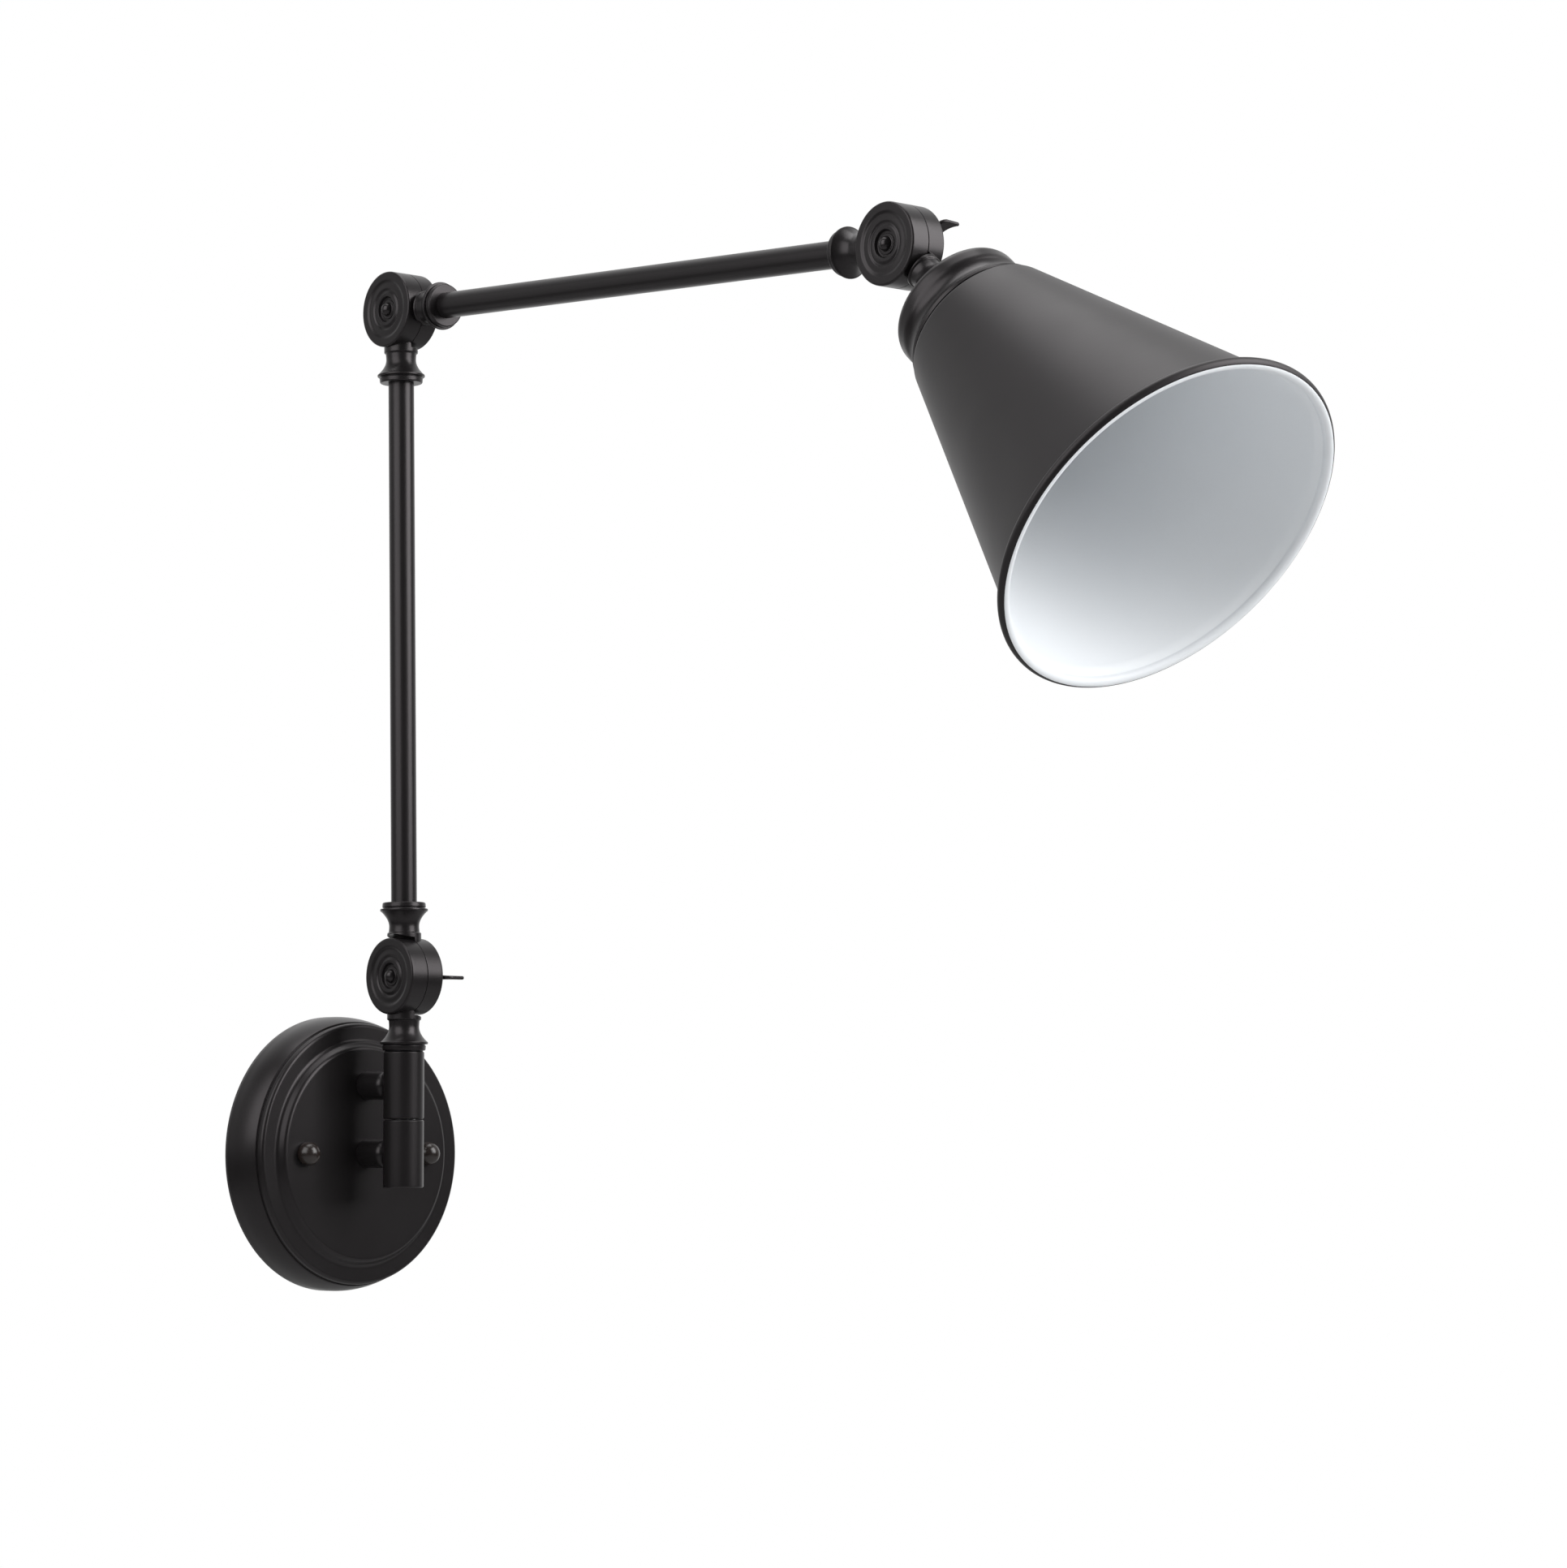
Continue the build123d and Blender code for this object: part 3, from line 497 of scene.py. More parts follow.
# Outline of the shell, from the back of its middle round the rim to the front of its middle.
def canopyOutline(sizes):
    wall, face, ringFace = sizes["wall"], sizes["discFace"], sizes["ringFace"]
    outer, ring, disc = sizes["outerRadius"], sizes["ringRadius"], sizes["discRadius"]
    sideDepth, sideRadius = sizes["sideEnd"]
    cove, back, ringBack = disc + sizes["cove"], face - wall, ringFace - wall
    corners = [(back, 0), (back, disc - wall, 1.0), (ringBack, cove - wall, 1.0)]
    corners += [(ringBack, ring - wall, 0.4), (sideDepth - wall, ring - wall, 0.4)]
    corners += [(sizes["skirt"], outer - wall, 6.0), (0, outer - wall)]
    inside = rounded(corners, closed=False)
    side = tangentArc((sizes["skirt"], outer), (sideDepth, sideRadius), (1, 0), 16)
    corners = [(sideDepth, sideRadius - 0.02), (sideDepth, ring, 0.12)]
    corners += [(ringFace, ring, sizes["ringRound"]), (ringFace, cove, sizes["coveRound"])]
    corners += [(face, disc + 0.2, sizes["discRound"]), (face, sizes["faceRows"][0])]
    step = rounded(corners, closed=False, steps=9)
    edge = [(0, outer - 0.3), (0.3, outer), (2.0, outer)]
    front = [(face, sizes["faceRows"][1]), (face, 0)]
    return np.concatenate([inside, edge, side, step, front])


wallAxes = axesOf((0, 0, 0), outOfWall, up)
canopySkin = lathe(canopyOutline(canopySizes), wallAxes, 256, closedRows=False)
addBlack("canopyShell", [canopySkin], "wall_base", "canopy")

capNutSizes = {
    "ball": 5.1,
    "height": 7.0,
    "spread": 35.0,
    "foot": 24.2,
    "collar": [(0, -0.1), (0.12, 0.02), (0.3, 0.05)],
    "collarTurn": 0.12,
}


# A ball cut flat where it sits, at sqrt(ball^2 - drop^2), on a thin collar.
def capNut(sizes, sideways):
    radius, drop = sizes["ball"], sizes["height"] - sizes["ball"]
    angle = np.linspace(math.acos(-drop / radius) - sizes["collarTurn"], 0, 26)
    ball = np.stack([drop + radius * np.cos(angle), radius * np.sin(angle)], 1)
    ball[-1, 1] = 0
    footRadius = math.sqrt(radius**2 - drop**2)
    foot = [(0, 0)] + [(along, footRadius + past) for along, past in sizes["collar"]]
    axes = axesOf((sizes["foot"], sideways, 0), outOfWall, up)
    return lathe(np.concatenate([foot, ball]), axes, 64, closedRows=False)


capNuts = [capNut(capNutSizes, side * capNutSizes["spread"]) for side in (-1, 1)]
addPiece("capNutPair", capNuts, "wall_base", ["cap_nuts"], [finishes["darkBronze"]])

# The upright pivot: two posts with a sleeve each.
pivotSizes = {
    "postRadius": 6.15,
    "postFoot": 24.25,
    "postEnd": 36.0,
    "postSink": 0.05,
    "stubRadius": 4.0,
    "stubBack": 15.2,
    "postPitch": 29.6,
    "sleeveRadius": 8.8,
    "sleeveLength": 29.3,
    "sleeveBore": 6.5,
    "sleeveEdge": 0.5,
    "nutRoomRadius": 7.6,
    "nutRoomDepth": 8.0,
}


# A round post along X whose front end is hollowed to the sleeve: at height t across the post the
# end stands where the sleeve's circle does, pivot - sqrt(sleeve^2 - t^2).
def post(sizes, height):
    back, foot, end = sizes["stubBack"], sizes["postFoot"], sizes["postEnd"]
    stub, full = sizes["stubRadius"], sizes["postRadius"]
    corners = [(back, 0), (back, stub, 0.5), (foot, stub), (foot, full, 0.15), (end, full)]
    rows = rounded(corners, closed=False)
    along, radius = rows[:, 0][:, None], rows[:, 1][:, None]
    angle = np.linspace(0, 2 * math.pi, 96, endpoint=False)[None]
    endRadius = np.array([1.0, 0.96, 0.75, 0.5, 0.25, 0.0])[:, None] * full
    radius = np.concatenate([radius + 0 * angle, endRadius + 0 * angle])
    sideways, upright = radius * np.cos(angle), radius * np.sin(angle)
    hollow = np.sqrt(sizes["sleeveRadius"] ** 2 - sideways[len(rows) :] ** 2)
    endAlong = pose["pivotOffset"] - hollow + sizes["postSink"]
    along = np.concatenate([along + 0 * angle, endAlong])
    return skinOf(np.stack([along, sideways, upright + height], -1))


# A sleeve's closed outline. The lower one has room for the spindle's nut in its foot.
def sleeveOutline(sizes, foot, room):
    top, bore, edge = foot + sizes["sleeveLength"], sizes["sleeveBore"], sizes["sleeveEdge"]
    radius, wide, deep = sizes["sleeveRadius"], sizes["nutRoomRadius"], foot + sizes["nutRoomDepth"]
    inside = [(top, bore, 0.1), (foot, bore, 0.1)]
    if room:
        inside = [(top, bore, 0.1), (deep, bore), (deep, wide), (foot, wide, 0.05)]
    outside = [(foot, radius - edge, 0.15), (foot + edge, radius, 0.35), (top - edge, radius, 0.35)]
    return rounded([*outside, (top, radius - edge, 0.15), *inside])


pivotAxes = axesOf(pivotFoot, up, armOut)
heights = {"lower": 0.0, "upper": pivotSizes["postPitch"]}
for place, height in heights.items():
    addBlack(place + "Post", [post(pivotSizes, height)], "wall_base", place + "_post")
for place, height in heights.items():
    outline = sleeveOutline(pivotSizes, height - pivotSizes["sleeveLength"] / 2, place == "lower")
    addBlack(place + "Sleeve", [lathe(outline, pivotAxes, 128)], "wall_base", place + "_sleeve")
print("wall base made")

# The three knuckles share one shape, measured from the middle of the joint.
knuckleSizes = {
    "radius": 16.6,
    "halfThickness": 8.6,
    "split": 0.12,
    "splitRound": 0.14,
    "edgeRound": 0.9,
    "relief": [(0, 13.4), (0.55, 11.6), (0.4, 9.4), (0.85, 8.3), (0.3, 6.9)],
    "recess": 5.2,
    "dishRadius": 12.4,
    "dishDepth": 0.9,
    "dishSlope": 0.9,
    "seatRadius": 6.8,
    "seatDepth": 1.8,
    "bore": 3.05,
    "neckRoot": 13.2,
    "neckFoot": 16.9,
    "neckCut": 18.4,
    "neckFree": 19.45,
    "neckCore": 2.0,
}


# One half's disc: its outline turned about the bolt, with a rounded rim. The front half's face has
# soft rings, a smooth curve through given depths and radii, down to the recess for the bolt's
# head. The rear one's is a dish with a flat seat for the washer.
def knuckleDisc(sizes, centre, outward, rings):
    face, seat = sizes["halfThickness"], sizes["halfThickness"] - sizes["seatDepth"]
    floor, split, radius = face - sizes["dishDepth"], sizes["split"], sizes["radius"]
    start = [(split, radius, sizes["splitRound"]), (face, radius, sizes["edgeRound"])]
    if rings:
        relief = [(face - depth, out) for depth, out in sizes["relief"]]
        corners = [tuple(point) for point in throughPoints(relief, [(0, -1)] * len(relief), 10)]
        corners += [(relief[-1][0] - 0.1, sizes["recess"] + 0.5, 0.3), (seat, sizes["recess"], 0.4)]
    else:
        dish, flat = sizes["dishRadius"], sizes["seatRadius"]
        corners = [(face, dish, 0.6), (floor, dish - sizes["dishSlope"], 0.6)]
        corners += [(floor, flat, 0.15), (seat, flat)]
    outline = rounded([(split, sizes["bore"]), *start, *corners, (seat, sizes["bore"])])
    return lathe(outline, axesOf(centre, outward, up), 160)


# The neck is turned: a bead, a waist and a collar, by the way along it and out from it.
beadCorners = [(16.9, 7.4), (18.8, 7.4, 0.6), (19.1, 6.75, 0.3), (19.4, 6.7)]
waistPoints = [(19.5, 6.68), (22.7, 6.6), (28.0, 9.75)]
collarCorners = [(28.06, 9.82), (28.5, 10.4, 0.4), (29.35, 10.35, 0.35), (29.45, 9.1, 0.2)]
collarCorners += [(29.85, 9.0, 0.2), (30.0, 9.5, 0.45), (32.1, 9.3, 0.6), (32.1, 5.0)]
neckBead = rounded(beadCorners, closed=False, hold=0.1)
neckWaist = throughPoints(waistPoints, [(1, -0.08), (1, 0.16), (1, 1.0)], 12)
neckCollar = rounded(collarCorners, closed=False, steps=7, hold=0.08)


# One half's neck: its outline turned about the neck's own way. With t across and n out from the
# split, it stands on its own disc at sqrt(foot^2 - t^2), and on the other half's side it is cut
# back to sqrt(cut^2 - t^2). The rows before that run along the split plane up to there and then
# down the cut's wall, or along the neck where n is on this half's own side. The bead's rows slide
# along so that none stands before the cut.
def knuckleNeck(sizes, centre, way, outward):
    start, way, side, across = axesOf(centre, way, outward)
    body = np.concatenate([neckBead, neckWaist, neckCollar])
    bead = body[: np.argmax(body[:, 0] > sizes["neckFree"])]
    angle = np.linspace(0, 2 * math.pi, 160, endpoint=False)[None]
    out, t, root = bead[0, 1] * np.cos(angle), bead[0, 1] * np.sin(angle), sizes["neckRoot"]
    splitAt = sizes["split"] + 0.02
    own = out >= splitAt
    cut = np.sqrt(np.where(own, sizes["neckFoot"], sizes["neckCut"]) ** 2 - t**2)
    topOut = np.interp(cut, bead[:, 0], bead[:, 1]) * np.cos(angle)
    step = np.array([0.0, 0.25, 0.5, 0.75, 0.93])[:, None]
    alongCut = root + (cut - root) * np.where(own, step, np.minimum(2 * step, 1))
    outCut = np.where(own, out, splitAt + (topOut - splitAt) * np.clip(2 * step - 1, 0, 1))
    slide = (bead[:, :1] - bead[0, 0]) / (sizes["neckFree"] - bead[0, 0])
    alongBead = cut + (sizes["neckFree"] - cut) * slide
    radiusBead = np.interp(alongBead, bead[:, 0], bead[:, 1])
    rest = body[len(bead) :]
    ring = 0 * angle
    along = [ring + root, alongCut, alongBead, rest[:, :1] + ring, ring + rest[-1, 0]]
    radius = np.concatenate([radiusBead, rest[:, 1:] + ring, ring])
    along = np.concatenate(along)[..., None]
    outs = np.concatenate([ring + sizes["neckCore"], outCut, radius * np.cos(angle)])[..., None]
    sideways = np.concatenate([ring, t + 0 * step, radius * np.sin(angle)])[..., None]
    return skinOf(start + along * way + outs * side + sideways * across)


boltSizes = {
    "shank": 3.0,
    "flange": 4.2,
    "seat": 6.8,
    "rim": 0.4,
    "ball": 2.9,
    "top": 10.2,
    "reach": 16.45,
    "threadFrom": 7.0,
    "threadTo": 0.53,
    "threadDepth": 0.32,
    "threadRows": 190,
    "pitch": 1.0,
    "end": [(0.5, 2.7), (0.05, 2.25), (0, 2.1), (0, 1.0), (0, 0)],
}


# A bolt whose head is a ball on a low flange. Its thread is a helix: the radius falls by the
# thread's depth times |2 f - 1|, f being how far along / pitch - angle / 360 is past a whole turn.
def domedBolt(sizes, centre):
    seat, flange, shank, rows = sizes["seat"], sizes["flange"], sizes["shank"], sizes["threadRows"]
    foot, reach, ball = seat + sizes["rim"], sizes["reach"], sizes["ball"]
    angle = np.linspace(0, math.acos((foot + 0.3 - sizes["top"] + ball) / ball), 26)
    dome = np.stack([sizes["top"] - ball + ball * np.cos(angle), ball * np.sin(angle)], 1)
    dome[0, 1] = 0
    corners = [(foot + 0.02, shank), (foot, flange, 0.2), (seat, flange, 0.15), (seat, 2.9)]
    thread = [np.linspace(seat - 0.5, 0.55 - reach, rows), np.full(rows, shank)]
    end = [(-reach + back, radius) for back, radius in sizes["end"]]

    def helix(along, angle, radius):
        turn = np.mod(along / sizes["pitch"] - angle / (2 * math.pi), 1)
        onThread = (along < -sizes["threadFrom"]) & (along > sizes["threadTo"] - reach)
        fall = np.where(onThread & (radius == shank), sizes["threadDepth"], 0)
        return -fall * np.abs(2 * turn - 1)

    outline = np.concatenate([dome, rounded(corners, closed=False), np.stack(thread, 1), end])
    return lathe(outline, axesOf(centre, -knuckleBack, up), 48, closedRows=False, ripple=helix)


wingSizes = {
    "foot": 8.05,
    "hub": 5.0,
    "hubTop": 4.2,
    "hubHeight": 7.0,
    "bore": 3.05,
    "reach": 16.6,
    "height": 12.4,
    "thickness": 1.5,
    "rootThickness": 2.4,
    "root": 1.6,
    "heel": 12.6,
    "heelHeight": 6.4,
    "tip": 1.5,
    "tipLean": 0.4,
    "brow": (9.4, 6.75),
    "middle": (12.0, 4.6),
    "edgeRound": 0.6,
    "rootAt": 4.0,
    "rootFade": 3.4,
}


# Outline of one wing in the plane (out from the hub, up from its foot), closed: straight under,
# an arc at the heel, a half circle at the tip and a smooth curve back along the brow.
def wingOutline(sizes):
    root, reach, half = sizes["root"], sizes["reach"], sizes["tip"] / 2
    turn = np.linspace(0, math.pi, 14)[:, None]
    tipMiddle = (reach - sizes["tipLean"] - half, sizes["height"] - half)
    tip = tipMiddle + half * np.concatenate([np.cos(turn), np.sin(turn)], 1)
    heel = tangentArc((sizes["heel"], root), (reach, sizes["heelHeight"]), (1, 0), 16)
    shoulder = (sizes["hubTop"] - 0.5, sizes["hubHeight"] - 0.5)
    browWays = [(-0.35, -1), (-1, -0.12), (-1, -0.05)]
    brow = throughPoints([tip[-1], sizes["brow"], shoulder], browWays, 14)
    foot = np.linspace(shoulder, (shoulder[0], root), 8)
    under = np.linspace((shoulder[0], root), (sizes["heel"], root), 12)
    rise = np.linspace(heel[-1], tip[0], 6)
    return np.concatenate([part[:-1] for part in (under, heel, rise, tip, brow, foot)])


# A wing is its outline drawn in towards a middle point, row by row, while it stands further from
# its middle plane: a quarter ellipse at the edge, then flat. Towards the hub it is thicker by
# exp(-(out - rootAt) / rootFade).
def wing(sizes, axes, sign):
    start, way, side, across = axes
    outline = wingOutline(sizes)
    edge = np.roll(outline, -1, 0) - np.roll(outline, 1, 0)
    inward = unit(np.stack([-edge[:, 1], edge[:, 0]], 1))
    quarter = np.linspace(0, math.pi / 2, 6)
    inset, rise = sizes["edgeRound"] * (1 - np.cos(quarter)), np.sin(quarter)
    edgeRows = outline[None] + inset[:, None, None] * inward[None]
    draw = np.array([0.1, 0.3, 0.55, 0.8, 1.0])[:, None, None]
    flatRows = edgeRows[-1][None] * (1 - draw) + np.array(sizes["middle"]) * draw
    face = np.concatenate([edgeRows, flatRows])
    height = np.concatenate([rise, np.ones(len(draw))])[:, None]
    fade = np.exp(-(face[..., 0] - sizes["rootAt"]) / sizes["rootFade"])
    lift = height * (sizes["thickness"] / 2 + sizes["rootThickness"] / 2 * fade)
    both = np.concatenate([face[::-1], face[1:]])
    lifts = np.concatenate([-lift[::-1], lift[1:]])[..., None]
    outs, ups = both[..., 0][..., None], both[..., 1][..., None]
    return skinOf(start + ups * way + sign * outs * side + lifts * across)


# The nut's hub is turned about the bolt, with a wing on each side.
def wingNut(sizes, centre, degrees):
    axes = axesOf(centre + knuckleBack * sizes["foot"], knuckleBack, inArmPlane(degrees))
    hub, bore, top = sizes["hub"], sizes["bore"], sizes["hubHeight"]
    corners = [(0, bore), (0, hub, 0.3), (sizes["root"], hub, 1.2)]
    corners += [(top, sizes["hubTop"], 0.6), (top, bore, 0.3)]
    return [lathe(rounded(corners), axes, 64), wing(sizes, axes, 1), wing(sizes, axes, -1)]


# Each joint's middle, the ways and the bodies of its two halves, and the angle its nut stands at.
knuckles = {
    "base": (baseCentre, -up, lowerWay, "swivel", "lower_arm", -2.0),
    "elbow": (elbowCentre, -lowerWay, upperWay, "lower_arm", "upper_arm", -3.0),
    "head": (headCentre, -upperWay, headWay, "upper_arm", "head", 38.0),
}
for place, (centre, frontWay, rearWay, frontBody, rearBody, nutAngle) in knuckles.items():
    for half, way, body, outward in (
        ("Front", frontWay, frontBody, -knuckleBack),
        ("Rear", rearWay, rearBody, knuckleBack),
    ):
        disc = knuckleDisc(knuckleSizes, centre, outward, half == "Front")
        skins = [disc, knuckleNeck(knuckleSizes, centre, way, outward)]
        addBlack(place + "Knuckle" + half, skins, body, place + "_knuckle_" + half.lower())
    bolt = domedBolt(boltSizes, centre)
    addBlack(place + "Bolt", [bolt], frontBody, place + "_bolt", "boltBlack")
    nut = wingNut(wingSizes, centre, nutAngle)
    addBlack(place + "WingNut", nut, place + "_nut", place + "_wing_nut")
print("knuckles made")

tubeSizes = {"radius": 5.6, "wall": 0.9, "inset": 24.1}


# A round tube that starts and ends one inset inside its length.
def tube(sizes, centre, way, length):
    radius, inner = sizes["radius"], sizes["radius"] - sizes["wall"]
    first, last = sizes["inset"], length - sizes["inset"]
    outline = rounded([(first, radius, 0.2), (last, radius, 0.2), (last, inner), (first, inner)])
    return lathe(outline, axesOf(centre, way, knuckleBack), 96)


for place, centre, way in (("lower", baseCentre, lowerWay), ("upper", elbowCentre, upperWay)):
    skin = tube(tubeSizes, centre, way, pose[place + "Length"])
    addBlack(place + "Tube", [skin], place + "_arm", place + "_tube")
print("arms made")

# The head's pieces are turned about its own way, from the middle of the head knuckle.
cupSizes = {
    "top": (32.1, 10.8),
    "crown": (35.0, 14.9),
    "shoulder": (40.3, 24.5),
    "step": 0.6,
    "band": (44.2, 27.4),
    "bandEnd": 47.2,
    "waist": (52.0, 26.6),
    "flare": (58.0, 29.7),
    "rim": (58.8, 30.4),
    "end": 60.4,
    "lip": (1.2, 57.6, 28.6),
    "inside": [(52.0, 25.4), (46.0, 26.1), (42.0, 23.4), (37.0, 17.4), (34.2, 12.0), (33.3, 9.5)],
    "bore": (33.3, 5.05),
    "crestRows": (8.0, 10.6),
}


# The cup's outline is a chain of arcs (crown, bell, band, waist and rim), then a plain inside.
def cupOutline(sizes):
    top, crown, shoulder, band = sizes["top"], sizes["crown"], sizes["shoulder"], sizes["band"]
    waist, flare, rim = sizes["waist"], sizes["flare"], sizes["rim"]
    bandEnd = (sizes["bandEnd"], band[1])
    between = ((bandEnd[0] + waist[0]) / 2, (bandEnd[1] + waist[1]) / 2)
    crownArc = tangentArc(top, crown, (0, 1), 14)
    bellArc = tangentArc(crown, shoulder, (1, 1), 22)
    stepEnd = (shoulder[0] + sizes["step"], shoulder[1])
    bandArc = tangentArc(band[::-1], stepEnd[::-1], (-0.1, -1), 10)[::-1, ::-1]
    fall = tangentArc(bandEnd, between, (1, 0), 8)
    slope = between[0] - fall[-2, 0], between[1] - fall[-2, 1]
    rise = tangentArc(between, waist, slope, 8)
    flareArc = tangentArc(waist, flare, (1, 0), 12)
    end, (wall, *foot) = sizes["end"], sizes["lip"]
    corners = [flare, (*rim, 0.2), (end, rim[1], 0.3), (end, rim[1] - wall, 0.2), foot]
    rimRows = rounded(corners, closed=False)[1:]
    crest = [(top[0], radius) for radius in (sizes["bore"][1], *sizes["crestRows"])]
    bell = [crest, crownArc, bellArc[1:], bandArc, [(45.0, band[1])], fall, rise[1:]]
    return np.concatenate([*bell, flareArc[1:], rimRows, sizes["inside"], [sizes["bore"]]])


addBlack("bellCup", [lathe(cupOutline(cupSizes), headAxes, 192)], "head", "cup")

holderSizes = {
    "boss": 9.0,
    "bossBore": 5.0,
    "bossDepth": 6.4,
    "start": 36.3,
    "bodyStart": 43.3,
    "body": 19.5,
    "flange": 22.8,
    "flangeAt": 57.7,
    "top": 60.7,
    "end": 90.7,
    "bore": 14.3,
    "floor": 52.3,
    "seat": 57.3,
    "contactBore": 9.5,
    "threadRows": 110,
    "threadFrom": 6.0,
    "threadEnd": 1.2,
    "threadFade": 2,
    "threadDepth": 0.6,
    "threadPitch": 3.2,
}


# Moulded lampholder. Its skirt carries a coarse round thread for the shade ring: the radius falls
# by the depth times 0.5 - 0.5 cos(360 along / pitch - angle).
def lampholder(sizes):
    start, boss, hole = sizes["start"], sizes["boss"], sizes["bossBore"]
    top, body, flange = sizes["top"], sizes["body"], sizes["flange"]
    end, bore, seat, well = sizes["end"], sizes["bore"], sizes["seat"], sizes["contactBore"]
    deep, bodyStart, rise = start + sizes["bossDepth"], sizes["bodyStart"], sizes["flangeAt"]
    corners = [(deep, 0), (deep, hole), (start, hole, 0.2), (start, boss, 0.6)]
    corners += [(bodyStart, boss, 0.5), (bodyStart, body, 1.6), (rise, body, 0.4)]
    corners += [(rise, flange, 0.5), (top, flange, 0.5), (top, body, 0.2)]
    outer = rounded(corners, closed=False)
    last = end - sizes["threadEnd"]
    skirt = np.linspace((top + 0.4, body), (last, body), sizes["threadRows"])
    corners = [(end - 0.8, body - 0.2), (end, body - 0.7, 0.4), (end, bore, 0.5), (seat, bore, 0.2)]
    corners += [(seat, well, 0.2), (sizes["floor"], well, 0.2), (sizes["floor"], 0)]
    inner = rounded(corners, closed=False)

    def thread(along, angle, radius):
        onSkirt = (radius > body - 0.01) & (radius < body + 0.01)
        rising = np.clip((along - top - sizes["threadFrom"]) / sizes["threadFade"], 0, 1)
        falling = np.clip((last - along) / sizes["threadFade"], 0, 1)
        wave = 0.5 - 0.5 * np.cos(2 * math.pi * along / sizes["threadPitch"] - angle)
        return np.where(onSkirt, -sizes["threadDepth"] * wave * (rising * falling), 0)

    outline = np.concatenate([outer, skirt, inner])
    return lathe(outline, headAxes, 128, closedRows=False, ripple=thread)


shellSizes = {
    "radius": 13.45,
    "wall": 0.5,
    "start": 57.35,
    "end": 89.3,
    "mouth": 7.0,
    "plain": 1.4,
    "rows": 120,
    "depth": 0.42,
    "pitch": 3.63,
    "fades": (2.5, 1.5),
}


# Screw shell rolled from sheet: both its faces follow the same round helix, and the radius grows
# by the depth times cos(360 along / pitch - angle).
def screwShell(sizes):
    start, end, wall, mouth = sizes["start"], sizes["end"], sizes["wall"], sizes["mouth"]
    outer, inner = sizes["radius"] + wall / 2, sizes["radius"] - wall / 2
    first, (fadeIn, fadeOut) = start + sizes["plain"], sizes["fades"]
    outside = np.linspace((first, outer), (end, outer), sizes["rows"])
    inside = np.linspace((first, inner), (end, inner), sizes["rows"])[::-1]
    corners = [(start + 1.2, inner), (start + wall, inner, 0.3), (start + wall, mouth, 0.1)]
    corners += [(start, mouth, 0.1), (start, outer, 0.6), (start + 1.2, outer)]
    base = rounded(corners, closed=False)

    def rolled(along, angle, radiusHere):
        rising = np.clip((along - start - sizes["plain"]) / fadeIn, 0, 1)
        fade = rising * np.clip((end - along) / fadeOut, 0, 1)
        wave = np.cos(2 * math.pi * along / sizes["pitch"] - angle)
        return np.where(radiusHere > inner - 0.2, sizes["depth"] * wave * fade, 0)

    return lathe(np.concatenate([outside, inside, base]), headAxes, 112, ripple=rolled)


ringSizes = {
    "radius": 25.2,
    "bore": 19.55,
    "start": 61.7,
    "height": 4.2,
    "step": (0.5, 22.6, 22.2),
    "notches": 12,
    "notchDepth": 1.1,
    "notchWidth": 1.5,
    "notchFoot": 23.4,
}


# Shade ring with finger notches: near its outside the radius dips by a rounded notch, as deep as
# sqrt(1 - (distance from the notch / width)^2) allows.
def shadeRing(sizes):
    start, end, bore = sizes["start"], sizes["start"] + sizes["height"], sizes["bore"]
    drop, stepTop, stepFoot = sizes["step"]
    corners = [(start, bore, 0.2), (start, sizes["radius"], 0.5), (end, sizes["radius"], 0.8)]
    corners += [(end, stepTop, 0.3), (end - drop, stepFoot, 0.3), (end - drop, bore, 0.3)]

    def notches(along, angle, radius):
        pitch = 2 * math.pi / sizes["notches"]
        away = np.abs(np.mod(angle + pitch / 2, pitch) - pitch / 2) * sizes["radius"]
        dip = np.sqrt(np.clip(1 - (away / sizes["notchWidth"]) ** 2, 0, 1))
        return -sizes["notchDepth"] * dip * np.clip((radius - sizes["notchFoot"]) / 0.6, 0, 1)

    return lathe(rounded(corners), headAxes, 240, ripple=notches)


for name, skin, node, slotName, finish in (
    ("lampholderBody", lampholder(holderSizes), "lampholder", "black_plastic", "mouldedBlack"),
    ("screwShellRolled", screwShell(shellSizes), "screw_shell", "brass", "brassDrawn"),
    ("shadeRingNotched", shadeRing(ringSizes), "shade_ring", "black_plastic", "mouldedBlack"),
):
    addPiece(name, [skin], "head", [node], [finishes[finish]])

shadeSizes = {
    "hole": 19.8,
    "top": 60.7,
    "topRadius": 31.6,
    "shoulderRound": 3.4,
    "mouth": (185.2, 68.7),
    "rim": (188.4, 71.6),
    "lipRound": 12.0,
    "bead": 2.2,
    "beadTurn": (0.06, 0.62),
    "wall": 1.0,
    "insideShoulder": (0.85, 2.6),
    "insideLipRound": 11.0,
    "paintedBead": 24,
}


